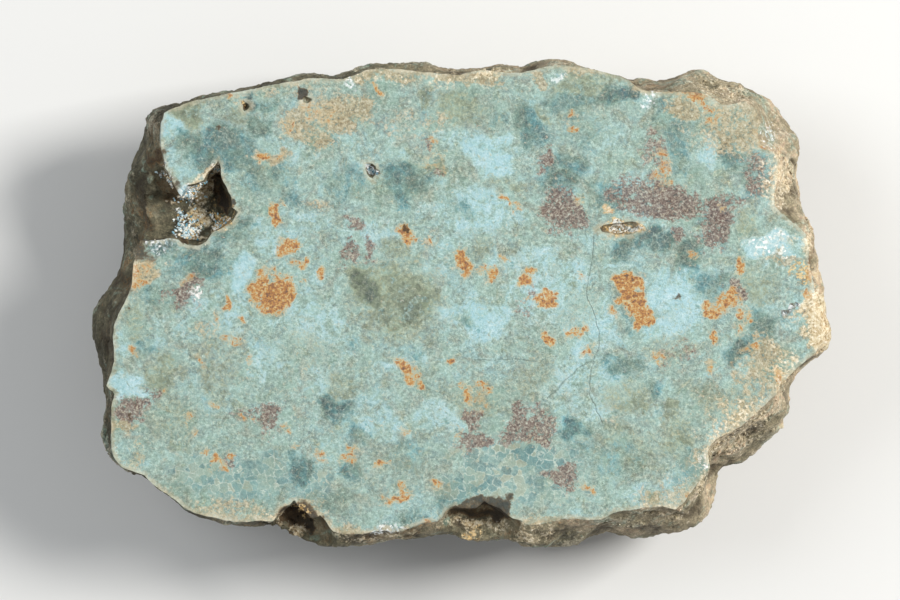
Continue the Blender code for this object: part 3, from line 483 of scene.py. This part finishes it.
# Frosty quartz: a pale crust of quartz whose whitest specks are painted glints.
FROST_AND_GLINTS = (
    (-40.3, 16.4, 1.4, 1.6, 0, 1), (-41.2, 11.4, 2.3, 1.5, 0, 0.85), (-43.3, 13.4, 1.4, 1.8, 0, 0.75),
    (-42.7, 15.9, 0.7, 0.5, 0, 0.8), (-43.8, 19.1, 1.3, 0.9, 0, 0.5), (-13.6, 19.8, 1.0, 1.4, 0, 0.8),
    (-16.9, 33.1, 1.1, 1.0, 0, 0.7), (14.4, 34.6, 1.3, 0.5, 0, 0.6), (28.8, 30.0, 1.9, 1.4, 0, 0.6),
    (-40.1, 0.5, 0.9, 0.9, 0, 0.6), (-10.8, -33.0, 2.5, 1.4, 0, 0.6), (34.3, -31.6, 0.9, 0.9, 0, 0.6),
    (46.5, 8.0, 2.9, 1.8, 0, 0.5), (24.3, 11.4, 2.7, 1.0, 0, 0.6), (46.8, 25.4, 2.5, 2.1, 0, 0.5),
    (50.3, -0.6, 1.0, 0.9, 0, 0.5), (-31.8, 31.1, 1.9, 0.6, 0, 0.3), (-45.3, 9.3, 1.6, 1.3, 0, 0.5),
    (-15.4, 20.9, 0.5, 0.6, 0, 0.4), (-36.6, 20.6, 0.8, 0.9, 0, 0.5), (49.3, -15.0, 0.9, 1.3, 0, 0.7),
    (36.9, -24.6, 1.1, 1.9, 0, 0.5),
)
GOLD = (
    (-36.5, 13.6, 1.8, 2.2, 0, 0.9), (24.1, 11.4, 3.0, 1.1, 0, 0.85), (-32.3, 29.6, 0.4, 0.8, 0, 0.8),
    (-40.8, 13.5, 1.6, 1.3, 0, 0.45), (-24.3, -31.6, 1.0, 0.9, 0, 0.6), (1.6, -34.9, 2.4, 0.9, 0, 0.6),
    (51.4, 4.7, 2.1, 1.5, 0, 0.6),
)

# %% Paint the marks into the points
FRAY = ((6.0, 1.9), (2.3, 1.3), (0.95, 0.6))


def frayed(places):
    """Places in millimetres, shifted by noise of several sizes, with the larger shifts for larger sizes."""
    shifted = []
    for place in places:
        point = Vector(place)
        for size, reach in FRAY:
            point += noise.noise_vector(Vector(place) / size + Vector((size, 0.0, 5.0))) * reach
        shifted.append(point)
    return np.array(shifted)


def painted(marks, depth, places):
    """The strongest mark at each place. A mark reaches so many millimetres down into the stone."""
    value = np.zeros(len(places))
    for x, y, half_length, half_width, turn, strength in marks:
        reach = 1.5 * max(half_length, half_width)
        near = np.flatnonzero((np.abs(places[:, 0] - x) < reach) & (np.abs(places[:, 1] - y) < reach))
        across, along = places[near, 0] - x, places[near, 1] - y
        c, s = math.cos(math.radians(turn)), math.sin(math.radians(turn))
        u = (across * c + along * s) / half_length
        v = (along * c - across * s) / half_width
        w = (FACE_HEIGHT - places[near, 2]) / depth
        fall = np.clip((1.5 - np.sqrt(u * u + v * v + w * w)) / 0.9, 0.0, 1.0)
        fall = fall * fall * (3 - 2 * fall) * strength
        value[near] = np.maximum(value[near], fall)
    return value


def keep(name, values):
    """Store one number for each point of the stone."""
    attribute = stone.data.attributes.new(name, "FLOAT", "POINT")
    attribute.data.foreach_set("value", np.asarray(values, np.float32))


places = frayed(all_points)
kinds = {
    "teal": (TEAL, 2.5), "olive": (OLIVE, 2.5), "milk": (MILK, 2.0), "mauve": (MAUVE, 2.5),
    "tan": (TAN, 6.0), "rust": (RUST, 3.5), "cells": (CELLS, 2.0), "umber": (UMBER, 10.0),
    "cream": (CREAM, 9.0), "frost": (FROST_AND_GLINTS, 6.0), "gold": (GOLD, 6.0),
}
shown = {kind: painted(marks, depth, places) for kind, (marks, depth) in kinds.items()}
for kind, values in shown.items():
    keep(kind, values)
print("marks:", {kind: len(marks) for kind, (marks, _) in kinds.items()})

# %% [markdown]
# Three more attributes tell the finish about the shape: whether a point is on the sawn face, how high
# it stands in the rough surface, and how far it is from the face's rim or from a crack.

# %% Keep what the finish needs to know about the shape
count = len(all_points)
sawn = np.zeros(count)
sawn[first_face_point:] = 1.0
sawn[rim_index] = 1.0
height = np.zeros(count)
height[:first_face_point] = relief
flat_places = all_points[first_face_point:, :2]
edge_distance = np.zeros(count)
edge_distance[first_face_point:] = np.minimum(distance_to(flat_places, rim), 3.0)
crack_distance = np.full(count, 3.0)
crack_distance[first_face_point:] = np.minimum(distance_to(flat_places, crack_points), 3.0)
keep("sawn", sawn)
keep("height", height)
keep("rim_distance", edge_distance)
keep("crack_distance", crack_distance)

# %% [markdown]
# ## Shader maths as Python
# A material is a net of nodes. Adding up two noises by hand takes three nodes and four links, so a
# small class wraps a node's output and gives it Python's operators. Each operator adds one Math node.

# %% A value that can be added and multiplied
class Value:
    """One number that varies over the surface."""

    def __init__(self, finish, socket):
        self.finish = finish
        self.socket = socket

    def maths(self, operation, first, second, clamp=False):
        """One Math node."""
        settings = {"operation": operation, "use_clamp": clamp}
        return self.finish.node("ShaderNodeMath", settings, {0: first, 1: second})

    def __add__(self, other):
        return self.maths("ADD", self, other)

    __radd__ = __add__

    def __mul__(self, other):
        return self.maths("MULTIPLY", self, other)

    __rmul__ = __mul__

    def __sub__(self, other):
        return self.maths("SUBTRACT", self, other)

    def __rsub__(self, other):
        return self.maths("SUBTRACT", other, self)

    def __truediv__(self, other):
        return self.maths("DIVIDE", self, other)

    def size_of(self):
        """The value without its sign."""
        return self.maths("ABSOLUTE", self, 0.0)

    def step(self, low, high):
        """0 below low, 1 above high and smooth between, or the other way round if low is above high."""
        sockets = {"Value": self, "From Min": low, "From Max": high}
        return self.finish.node("ShaderNodeMapRange", {"interpolation_type": "SMOOTHSTEP"}, sockets)


def colour(code):
    """A linear colour from the six digits that a picture editor shows."""
    parts = [int(code[i:i + 2], 16) / 255 for i in (0, 2, 4)]
    return tuple([p / 12.92 if p < 0.04045 else ((p + 0.055) / 1.055) ** 2.4 for p in parts] + [1.0])


# %% A finish: one material and the ways to add nodes to it
class Finish:
    """A material with a Principled shader, and short names for the nodes that it uses."""

    def __init__(self, name):
        self.material = bpy.data.materials.new(name)
        self.material.use_nodes = True
        self.tree = self.material.node_tree
        self.shader = self.tree.nodes["Principled BSDF"]
        self.place = self.node("ShaderNodeTexCoord", {}, {}, "Object")

    def node(self, kind, settings, sockets, out=0):
        """Add a node: first its settings, then its sockets from values, links or plain numbers."""
        made = self.tree.nodes.new(kind)
        for name, setting in settings.items():
            if name == "stops":
                self.fill_ramp(made.color_ramp, setting)
            else:
                setattr(made, name, setting)
        for name, value in sockets.items():
            self.feed(made.inputs[name], value)
        return Value(self, made.outputs[out])

    def feed(self, socket, value):
        """Link a value to a socket, or set a plain number or colour on it."""
        if isinstance(value, Value):
            self.tree.links.new(value.socket, socket)
        else:
            socket.default_value = value

    def fill_ramp(self, ramp, stops):
        """Colours along a ramp as (position, code) pairs."""
        while len(ramp.elements) < len(stops):
            ramp.elements.new(0.5)
        for element, (position, code) in zip(ramp.elements, stops):
            element.position = position
            element.color = colour(code)

    def kept(self, name):
        """An attribute of the piece's points."""
        return self.node("ShaderNodeAttribute", {"attribute_name": name}, {}, "Fac")

    def noise(self, size, detail=2.0, rough=0.5, warp=0.0):
        """Cloudy noise, mostly between -1 and 1, with clouds of a size in millimetres."""
        sockets = {"Vector": self.place, "Scale": 1 / (size * MM), "Detail": detail}
        sockets.update({"Roughness": rough, "Distortion": warp})
        return self.node("ShaderNodeTexNoise", {}, sockets, "Fac") * 4.0 - 2.0

    def cells(self, size, feature="F1", out="Distance", place=None):
        """Scattered cells of a size in millimetres: distance to the middle, to the edge, or a colour."""
        sockets = {"Vector": place or self.place, "Scale": 1 / (size * MM)}
        return self.node("ShaderNodeTexVoronoi", {"feature": feature}, sockets, out)

    def ramp(self, value, *stops):
        """A colour that follows a value."""
        return self.node("ShaderNodeValToRGB", {"stops": stops}, {"Fac": value}, "Color")

    def mix(self, share, first, second, blend="MIX"):
        """A share of the second colour over the first."""
        settings = {"data_type": "RGBA", "blend_type": blend}
        return self.node("ShaderNodeMix", settings, {0: share, 6: first, 7: second}, 2)

    def grey_of(self, colour_value):
        """One number from a colour's red channel."""
        return self.node("ShaderNodeSeparateColor", {}, {"Color": colour_value}, "Red")

# %% [markdown]
# ## The finish of the stone
# The finish is painted in layers, from the bottom up: pale aqua chalcedony with soft clouds, milky
# and olive clouds, blue-green ones, then the sharper brown grains, crust and rust, and last the fine
# dark specks. Each layer covers the one below by a mask: a painted attribute plus noise, cut off
# sharply for rust and softly for clouds. The rind is a second set of layers under the same marks.

# %% Clouds of the chalcedony
rock = Finish("chrysoprase")
broad = rock.noise(8.0, 2.0, 0.5)
cloud = rock.noise(2.9, 4.0, 0.68, 0.7)
wisp = rock.noise(1.15, 3.0, 0.68, 0.9)
fleck = rock.noise(0.5, 2.0, 0.65)
grain = rock.noise(0.27, 2.0, 0.7)
warm = rock.noise(4.1, 4.0, 0.65, 0.9)
lime = rock.noise(2.2, 4.0, 0.68, 0.8)
tone = broad * 0.28 + cloud * 0.38 + wisp * 0.26 + fleck * 0.08
body = rock.ramp(
    tone * 0.5 + 0.5,
    (0.1, "76998f"), (0.28, "92b0a2"), (0.45, "a4c1b8"), (0.6, "abcbcd"), (0.82, "bfdae0"),
)
body = rock.mix((warm + wisp * 0.5).step(-0.05, 0.9) * 0.55, body, colour("b9b59c"))
body = rock.mix((lime + fleck * 0.3).step(0.1, 0.9) * 0.5, body, colour("a6ae84"))
milky = rock.kept("milk") + cloud * 0.3 + wisp * 0.28 + fleck * 0.06
clear = milky.step(0.2, 0.8)
body = rock.mix(clear * 0.75, body, rock.ramp(cloud * 0.5 + 0.5, (0.2, "a0c9ce"), (0.55, "b3d2da"), (0.9, "cfdfe6")))
olive = rock.kept("olive") + 0.05 + cloud * 0.24 + wisp * 0.28 + fleck * 0.15 + grain * 0.08
olive_colour = rock.ramp(olive, (0.2, "b2b99d"), (0.45, "9ca583"), (0.7, "768063"), (0.95, "47543f"), (1.0, "2f3d36"))
body = rock.mix(olive.step(0.1, 0.6) * 0.85, body, olive_colour)

# %% Blue-green clouds, with a grain of their own
bent = rock.node(
    "ShaderNodeVectorMath", {"operation": "MULTIPLY_ADD"},
    {0: rock.node("ShaderNodeTexNoise", {}, {"Vector": rock.place, "Scale": 1 / (1.0 * MM)}, "Color"),
     1: (1.1 * MM,) * 3, 2: rock.place}, "Vector",
)
seam = rock.cells(1.2, "DISTANCE_TO_EDGE", place=bent)
cell_tone = rock.grey_of(rock.cells(1.2, out="Color", place=bent)) - 0.5
crystal = rock.grey_of(rock.cells(0.55, out="Color")) - 0.5
teal = rock.kept("teal") * 0.9 + 0.06 + broad * 0.1 + cloud * 0.26 + wisp * 0.28 + fleck * 0.1
teal = teal + crystal * 0.16 + cell_tone * 0.22
green_teal = rock.ramp(teal, (0.15, "a3bfb2"), (0.4, "82a69b"), (0.65, "5f857c"), (0.9, "41635f"), (1.0, "2f4f4f"))
blue_teal = rock.ramp(teal, (0.15, "9bc6cb"), (0.4, "74adb4"), (0.65, "4c878f"), (0.9, "2f5f69"), (1.0, "234c58"))
teal_colour = rock.mix((warm * -1.0 + cloud * 0.5).step(-0.5, 0.7), green_teal, blue_teal)
blue_green = teal.step(0.12, 0.5)
body = rock.mix(blue_green * 0.92, body, teal_colour)
thin_seam = (seam + wisp * 0.02 + fleck * 0.02).step(0.09, 0.0) * (cloud * 0.6 + fleck * 0.5 + 0.5).step(0.0, 1.0)
body = rock.mix(thin_seam * blue_green * 0.5, body, colour("bccfc4"))
print("clouds:", len(rock.tree.nodes), "nodes")

# %% Fine grain and dark specks, fewer of them where the stone is milky
gritty = (1.0 - clear * 0.75) * (lime * 0.5 + warm * 0.4 + cloud * 0.3).step(-0.9, 0.6)
grit_colour = rock.ramp(
    grain * 0.2 + fleck * 0.2 + crystal * 0.2 + 0.5,
    (0.2, "5a6659"), (0.36, "8a9784"), (0.5, "a6b09c"), (0.64, "b9bda6"), (0.8, "d4d6c4"),
)
body = rock.mix(gritty * 0.38, body, grit_colour)
shade = rock.ramp(fleck * 0.22 + grain * 0.26 + crystal * 0.2 + 0.5, (0.15, "303030"), (0.5, "808080"), (0.85, "d0d0d0"))
body = rock.mix(0.28 + gritty * 0.35, body, shade, "OVERLAY")
specks = (grain + gritty * 0.55 + wisp * 0.15).step(0.75, 1.15)
body = rock.mix(specks * 0.65, body, colour("475448"))

# %% Round cells of quartz with pale seams
celled = (rock.kept("cells") + cloud * 0.25 + wisp * 0.2).step(0.25, 0.9)
inner = rock.ramp(cell_tone + 0.5 + fleck * 0.08, (0.0, "4f7478"), (0.35, "789a97"), (0.65, "93a99c"), (1.0, "a6aa94"))
body = rock.mix(celled * 0.6, body, inner)
body = rock.mix(celled * thin_seam * 0.7, body, colour("ccd6c9"))

# %% Tan crust and brown grains
grit = rock.grey_of(rock.cells(0.33, out="Color"))
vein = 1.0 - (cloud * 0.6 + wisp * 0.7).size_of() * 2.4
crust = rock.kept("tan") + cloud * 0.22 + wisp * 0.3 + fleck * 0.12 + (grit - 0.5) * 0.35
crust_colour = rock.ramp(
    wisp * 0.18 + fleck * 0.15 + grit * 0.4 + grain * 0.1 + 0.28,
    (0.12, "5f4b30"), (0.32, "8d7852"), (0.48, "a6926c"), (0.64, "bcae8e"), (0.85, "d4cbb3"),
)
body = rock.mix(crust.step(0.3, 0.75) * 0.72, body, crust_colour)
brown = rock.kept("mauve") * 0.95 + cloud * 0.2 + wisp * 0.32 + fleck * 0.14 + (grit - 0.5) * 0.4
brown_colour = rock.ramp(
    fleck * 0.3 + grain * 0.28 + (grit - 0.5) * 0.3 + wisp * 0.12 + 0.45,
    (0.1, "3d2421"), (0.32, "624740"), (0.5, "7d675b"), (0.68, "9b9286"), (0.88, "b3b6a9"),
)
body = rock.mix(brown.step(0.34, 0.66) * 0.82, body, brown_colour)

# %% Rust
iron = rock.kept("rust") * 0.92 + vein * 0.1 + wisp * 0.34 + fleck * 0.2 + grain * 0.08
iron_colour = rock.ramp(
    iron * 0.45 + fleck * 0.24 + wisp * 0.1 + grain * 0.14,
    (0.1, "c7b78e"), (0.24, "bb9a62"), (0.36, "b57c36"), (0.48, "9c642e"), (0.62, "744629"), (0.82, "42271a"),
)
body = rock.mix(iron.step(0.18, 0.5) * 0.45, body, colour("c3b28c"))
body = rock.mix(iron.step(0.44, 0.68) * 0.88, body, iron_colour)
print("with rust:", len(rock.tree.nodes), "nodes")

# %% Cracks and the rim of the face
crack = (rock.kept("crack_distance") + fleck * 0.03).step(0.15, 0.03) * (wisp + 0.9).step(0.0, 0.8)
body = rock.mix(crack * 0.45, body, colour("5f6f68"))
edge = (rock.kept("rim_distance") + wisp * 0.5 + fleck * 0.2).step(0.8, 0.1) * rock.kept("sawn")
body = rock.mix(edge * 0.5, body, rock.ramp(cloud * 0.5 + 0.5, (0.3, "8f8061"), (0.5, "b9ae92"), (0.7, "d3ccb4")))

# %% [markdown]
# ## The rind
# Below the rim nothing is polished. The rind is olive-grey to tan, with cream where it crumbles,
# green where a fresh break shows the chalcedony, painted shade in every crease and painted
# highlights on the high points.

# %% Colours of the rind
stand = rock.kept("height")
# Painted shade and light: on top of its own olive-grey to tan colours, the rind is darker towards the left, away from
# the key lamp, and paler towards the right.
across = rock.node("ShaderNodeSeparateXYZ", {}, {"Vector": rock.place}, "X")
rough_colour = rock.ramp(
    broad * 0.2 + cloud * 0.2 + wisp * 0.14 + across * (0.22 / (50 * MM)) + 0.5,
    (0.15, "4b4735"), (0.34, "716c55"), (0.5, "938a6e"), (0.66, "b5a789"), (0.84, "d3c7aa"),
)
fresh = (warm * 0.8 + stand * 0.5 + wisp * 0.3).step(0.1, 0.6)
rough_colour = rock.mix(fresh * 0.7, rough_colour, rock.ramp(cloud * 0.5 + 0.5, (0.2, "6d8c7c"), (0.55, "98ae9d"), (0.85, "bccabb")))
stain = (lime * 0.6 + broad * 0.5 + fleck * 0.3).step(0.3, 0.8)
rough_colour = rock.mix(stain * 0.6, rough_colour, rock.ramp(wisp * 0.5 + 0.5, (0.2, "704521"), (0.5, "9d7141"), (0.8, "c39a63")))
# Painted shade: the rind is darkened in its low places and creases.
painted_crease_shade = (stand * -1.0 + wisp * 0.12 + fleck * 0.06).step(0.05, 0.5)
rough_colour = rock.mix(painted_crease_shade * 0.75, rough_colour, colour("3f3322"))
# Painted highlight: the high points of the rind are made paler.
painted_ridge_highlight = (stand + fleck * 0.2 + grain * 0.15).step(0.15, 0.6)
rough_colour = rock.mix(painted_ridge_highlight * 0.55, rough_colour, colour("d9cfb6"))
rough_shade = rock.ramp(fleck * 0.28 + grain * 0.26 + 0.5, (0.15, "383838"), (0.5, "808080"), (0.85, "cccccc"))
rough_colour = rock.mix(0.6, rough_colour, rough_shade, "OVERLAY")
rind = rock.kept("sawn").step(0.75, 0.25)
surface = rock.mix(rind, body, rough_colour)

# %% Umber, cream, gold and frosty quartz with painted glints over everything
umber_value = rock.kept("umber") + wisp * 0.24 + fleck * 0.16
umber_colour = rock.ramp(umber_value + grain * 0.14, (0.35, "80633c"), (0.6, "574126"), (0.95, "241b12"))
surface = rock.mix(umber_value.step(0.35, 0.75) * 0.88, surface, umber_colour)
cream = (rock.kept("cream") + cloud * 0.12 + wisp * 0.28 + fleck * 0.12 + (grit - 0.5) * 0.3).step(0.32, 0.8)
cream_colour = rock.ramp(grit * 0.5 + fleck * 0.22 + grain * 0.14 + 0.25, (0.1, "8b7048"), (0.35, "c2ab84"), (0.6, "dccdab"), (0.9, "f2e9d6"))
surface = rock.mix(cream * 0.78, surface, cream_colour)
golden = (rock.kept("gold") + wisp * 0.25 + (grit - 0.5) * 0.5).step(0.4, 0.7)
surface = rock.mix(golden * 0.8, surface, rock.ramp(grit + grain * 0.2, (0.1, "5f431c"), (0.5, "a98345"), (0.9, "dcc08a")))
# Pale frosted quartz, with its whitest specks as painted glints.
frost = (rock.kept("frost") + wisp * 0.28 + fleck * 0.15 + (grit - 0.5) * 0.4).step(0.4, 0.8)
surface = rock.mix(frost * 0.7, surface, rock.ramp(grit, (0.0, "4f8094"), (0.3, "93b9c6"), (0.65, "d3e0e0"), (1.0, "ffffff")))

# %% Gloss and fine relief
polish = rock.kept("sawn") * (1.0 - brown.step(0.4, 0.66) * 0.5) * (1.0 - crust.step(0.36, 0.66) * 0.4)
gloss = 0.78 - polish * 0.38 + fleck * 0.04 - frost * 0.3
bumps = grain * 0.12 + fleck * (1.25 - polish) * 0.28 + wisp * (1.0 - polish) * 0.5 - specks * 0.25 - crack * 0.5
normal = rock.node("ShaderNodeBump", {}, {"Strength": 0.6, "Distance": 0.25 * MM, "Height": bumps}, "Normal")
rock.feed(rock.shader.inputs["Base Color"], surface)
rock.feed(rock.shader.inputs["Roughness"], gloss)
rock.feed(rock.shader.inputs["Normal"], normal)
rock.feed(rock.shader.inputs["Specular IOR Level"], 0.4)
stone.data.materials.append(rock.material)
print("finish:", len(rock.tree.nodes), "nodes")

# %% [markdown]
# ## Quartz crystals and crumbs of rind
# Small crystals line the hollow, and crumbs of rock stick to the rind. There are thousands of them,
# so Geometry Nodes scatter them: a tree drops points on the stone, more of them where an attribute
# says so, puts a copy of one small shape on every point, and turns and scales each copy at random.
# The copies are then made real, because an exported file can't hold instances.

# %% A tree that scatters copies of a shape over the stone
class Scatter:
    """A Geometry Nodes tree with named inputs, and a short way to add nodes to it."""

    def __init__(self, name, numbers):
        self.tree = bpy.data.node_groups.new(name, "GeometryNodeTree")
        face = self.tree.interface
        face.new_socket("Geometry", in_out="OUTPUT", socket_type="NodeSocketGeometry")
        face.new_socket("Geometry", in_out="INPUT", socket_type="NodeSocketGeometry")
        self.inputs = {"Shape": face.new_socket("Shape", in_out="INPUT", socket_type="NodeSocketObject")}
        for number in numbers:
            self.inputs[number] = face.new_socket(number, in_out="INPUT", socket_type="NodeSocketFloat")
        self.start = self.tree.nodes.new("NodeGroupInput").outputs
        self.end = self.tree.nodes.new("NodeGroupOutput").inputs

    def node(self, kind, settings, sockets):
        """Add a node: its settings first, then its sockets from links or plain values."""
        made = self.tree.nodes.new(kind)
        for name, setting in settings.items():
            setattr(made, name, setting)
        for name, value in sockets.items():
            if isinstance(value, bpy.types.NodeSocket):
                self.tree.links.new(value, made.inputs[name])
            else:
                made.inputs[name].default_value = value
        return made.outputs


def scatter_tree(name, where, tilt, seed, material):
    """Copies of a shape on the stone where an attribute says so, each with a random tint."""
    build = Scatter(name, ("Density", "Smallest", "Largest"))
    amount = build.node("GeometryNodeInputNamedAttribute", {"data_type": "FLOAT"}, {"Name": where})
    density = build.node(
        "ShaderNodeMath", {"operation": "MULTIPLY"}, {0: amount["Attribute"], 1: build.start["Density"]}
    )
    drop = build.node(
        "GeometryNodeDistributePointsOnFaces", {"distribute_method": "RANDOM"},
        {"Mesh": build.start["Geometry"], "Density": density["Value"], "Seed": seed},
    )
    shape = build.node("GeometryNodeObjectInfo", {}, {"Object": build.start["Shape"]})
    lean = build.node(
        "FunctionNodeRandomValue", {"data_type": "FLOAT_VECTOR"},
        {0: (-tilt, -tilt, -math.pi), 1: (tilt, tilt, math.pi), "Seed": seed + 1},
    )
    turned = build.node(
        "FunctionNodeRotateRotation", {"rotation_space": "LOCAL"},
        {"Rotation": drop["Rotation"], "Rotate By": lean[0]},
    )
    size = build.node(
        "FunctionNodeRandomValue", {"data_type": "FLOAT"},
        {2: build.start["Smallest"], 3: build.start["Largest"], "Seed": seed + 2},
    )
    tint = build.node("FunctionNodeRandomValue", {"data_type": "FLOAT"}, {2: 0.0, 3: 1.0, "Seed": seed + 3})
    copies = build.node(
        "GeometryNodeInstanceOnPoints", {},
        {"Points": drop["Points"], "Instance": shape["Geometry"], "Rotation": turned[0], "Scale": size[1]},
    )["Instances"]
    settings = {"data_type": "FLOAT", "domain": "INSTANCE"}
    copies = build.node(
        "GeometryNodeStoreNamedAttribute", settings, {"Geometry": copies, "Name": "tint", "Value": tint[1]}
    )["Geometry"]
    real = build.node("GeometryNodeRealizeInstances", {}, {"Geometry": copies})["Geometry"]
    done = build.node("GeometryNodeSetMaterial", {}, {"Geometry": real, "Material": material})["Geometry"]
    build.tree.links.new(done, build.end["Geometry"])
    return build


def scattered(name, build, shape, numbers):
    """Run the tree on a copy of the stone and keep the result as a plain mesh."""
    carrier = bpy.data.objects.new(name + "_carrier", stone.data.copy())
    bpy.context.collection.objects.link(carrier)
    modifier = carrier.modifiers.new("scatter", "NODES")
    modifier.node_group = build.tree
    modifier[build.inputs["Shape"].identifier] = shape
    for number, value in numbers.items():
        modifier[build.inputs[number].identifier] = value
    graph = bpy.context.evaluated_depsgraph_get()
    mesh = bpy.data.meshes.new_from_object(carrier.evaluated_get(graph))
    bpy.data.objects.remove(carrier)
    bpy.data.objects.remove(shape)
    made = bpy.data.objects.new(name, mesh)
    bpy.context.collection.objects.link(made)
    print(name + ":", len(mesh.polygons), "faces")
    return made


# %% Where crystals grow and where the rind crumbles
off_face = 1.0 - sawn
crystals_here = np.clip(shown["frost"] * 1.3 + shown["cream"] * 0.5 + shown["gold"] * 0.8 - 0.35, 0.0, 1.0)
in_hollow = np.zeros(count)
for x, y, reach in ((-37.5, 14.5, 7.5), (-44.0, 15.0, 6.5)):
    away = np.hypot(all_points[:, 0] - x, all_points[:, 1] - y)
    in_hollow = np.maximum(in_hollow, np.clip(1.3 - away / reach, 0.0, 1.0))
in_pit = np.hypot(all_points[:, 0] - 24.0, all_points[:, 1] - 11.3) < 3.4
crumbs_here = np.clip(shown["cream"] * 0.9 + 0.25 * height - 0.1, 0.0, 1.0) * (1.0 - in_hollow)
BELOW_FACE = 1.6
BOX_MARGIN = 1.8
FOOT_MARGIN = 3.0
box_low, box_high = (np.array(corner) / MM for corner in cad_box)
to_side = np.minimum(all_points - box_low, box_high - all_points)[:, :2].min(axis=1)
buried = np.clip((FACE_HEIGHT - BELOW_FACE - all_points[:, 2]) / 0.5, 0.0, 1.0)
inside_box = (to_side > BOX_MARGIN) * (all_points[:, 2] > FOOT_MARGIN)
keep("crystals", crystals_here * off_face * np.maximum(in_hollow, in_pit) * buried)
keep("crumbs", crumbs_here * off_face * buried * inside_box)


# %% One quartz crystal and one crumb
def small_shape(name, places, faces):
    """A small closed shape, one unit across."""
    mesh = bpy.data.meshes.new(name)
    mesh.from_pydata(places, [], faces)
    made = bpy.data.objects.new(name, mesh)
    bpy.context.collection.objects.link(made)
    return made


def quartz_crystal():
    """A six-sided prism with a point, sunk a little into what it grows on."""
    places = []
    for z in (-0.3, 0.35):
        for k in range(6):
            around = math.tau * k / 6
            places.append((0.32 * math.cos(around), 0.32 * math.sin(around), z))
    places.append((0.05, 0.02, 0.8))
    faces = [tuple(range(5, -1, -1))]
    for k in range(6):
        n = (k + 1) % 6
        faces += [(k, n, 6 + n, 6 + k), (6 + k, 6 + n, 12)]
    return small_shape("quartz_shape", places, faces)


def crumb():
    """A lumpy stone chip with twenty faces."""
    ball = bmesh.new()
    bmesh.ops.create_icosphere(ball, subdivisions=1, radius=0.5)
    for vertex in ball.verts:
        vertex.co *= 1.0 + 0.28 * noise.noise(vertex.co * 3.0)
        vertex.co.z *= 0.7
    places = [tuple(vertex.co) for vertex in ball.verts]
    faces = [tuple(vertex.index for vertex in face.verts) for face in ball.faces]
    ball.free()
    return small_shape("crumb_shape", places, faces)


# %% Grow the crystals
quartz = Finish("quartz_crystals")
quartz_tint = quartz.kept("tint")
quartz_colour = quartz.ramp(quartz_tint, (0.0, "5f93a6"), (0.2, "a9c8d2"), (0.45, "e4ebea"), (0.7, "f4efe2"), (0.85, "d9bf8d"), (1.0, "8a6c3c"))
quartz.feed(quartz.shader.inputs["Base Color"], quartz_colour)
quartz.feed(quartz.shader.inputs["Roughness"], 0.16 + quartz_tint * 0.15)
crystal_tree = scatter_tree("grow_crystals", "crystals", 0.9, 11, quartz.material)
crystals = scattered(
    "quartz_crystals", crystal_tree, quartz_crystal(),
    {"Density": 2.2e7, "Smallest": 0.2 * MM, "Largest": 0.6 * MM},
)

# %% Stick on the crumbs
crumb_tree = scatter_tree("stick_crumbs", "crumbs", 0.6, 31, rock.material)
crumbs = scattered(
    "rind_crumbs", crumb_tree, crumb(), {"Density": 3.5e6, "Smallest": 0.35 * MM, "Largest": 0.95 * MM}
)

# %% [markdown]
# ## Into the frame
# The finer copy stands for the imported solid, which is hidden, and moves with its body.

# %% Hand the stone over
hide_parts("chrysoprase")
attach(stone, "root")
for piece in (crystals, crumbs):
    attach(piece, "root")

# %% [markdown]
# ## Floor, light and camera
# The floor is a plain pale sheet. One large lamp stands to the right, as in the photograph, and a
# weaker one fills in from the left. The camera looks straight down through a very long lens, so
# that the wall hardly hides behind the face.

# %% Floor
floor_mesh = bpy.data.meshes.new("floor")
FLOOR_REACH = 3.0
corners = [(-FLOOR_REACH, -FLOOR_REACH, 0.0), (FLOOR_REACH, -FLOOR_REACH, 0.0), (FLOOR_REACH, FLOOR_REACH, 0.0), (-FLOOR_REACH, FLOOR_REACH, 0.0)]
floor_mesh.from_pydata(corners, [], [(0, 1, 2, 3)])
floor = bpy.data.objects.new("floor", floor_mesh)
bpy.context.collection.objects.link(floor)
floor_finish = Finish("pale_floor")
floor_finish.feed(floor_finish.shader.inputs["Base Color"], colour("dcdcda"))
floor_finish.feed(floor_finish.shader.inputs["Roughness"], 0.9)
floor.data.materials.append(floor_finish.material)


# %% Lamps
def lamp(name, place, target, size, watts, tint):
    """A square soft lamp that faces a target."""
    data = bpy.data.lights.new(name, "AREA")
    data.size = size
    data.energy = watts
    data.color = tint
    made = bpy.data.objects.new(name, data)
    made.location = place
    made.rotation_euler = (Vector(target) - Vector(place)).to_track_quat("-Z", "Y").to_euler()
    bpy.context.collection.objects.link(made)
    return made


middle = (0.0, 0.0, FACE_HEIGHT * MM)
lamp("key", (0.75, 0.25, 0.8), middle, 0.35, 14.0, (1.0, 0.98, 0.95))
lamp("fill", (-0.7, 0.3, 0.9), middle, 0.6, 4.5, (0.95, 0.98, 1.0))
world = bpy.data.worlds.new("studio")
world.use_nodes = True
world.node_tree.nodes["Background"].inputs["Color"].default_value = (0.9, 0.92, 0.95, 1.0)
world.node_tree.nodes["Background"].inputs["Strength"].default_value = 0.35
bpy.context.scene.world = world
bpy.context.scene.view_settings.view_transform = "Standard"

# %% Camera
PIXEL = 0.15
VIEW_CENTRE = ((450 - 461.2) * PIXEL * MM, (303.2 - 300) * PIXEL * MM)
lens = bpy.data.cameras.new("camera")
lens.lens = 400.0
lens.sensor_width = 36.0
away = 900 * PIXEL * MM * lens.lens / lens.sensor_width
camera = bpy.data.objects.new("camera", lens)
camera.location = (VIEW_CENTRE[0], VIEW_CENTRE[1], FACE_HEIGHT * MM + away)
lens.clip_end = 100.0
bpy.context.collection.objects.link(camera)
bpy.context.scene.camera = camera
print("camera", round(away, 3), "m above the face")
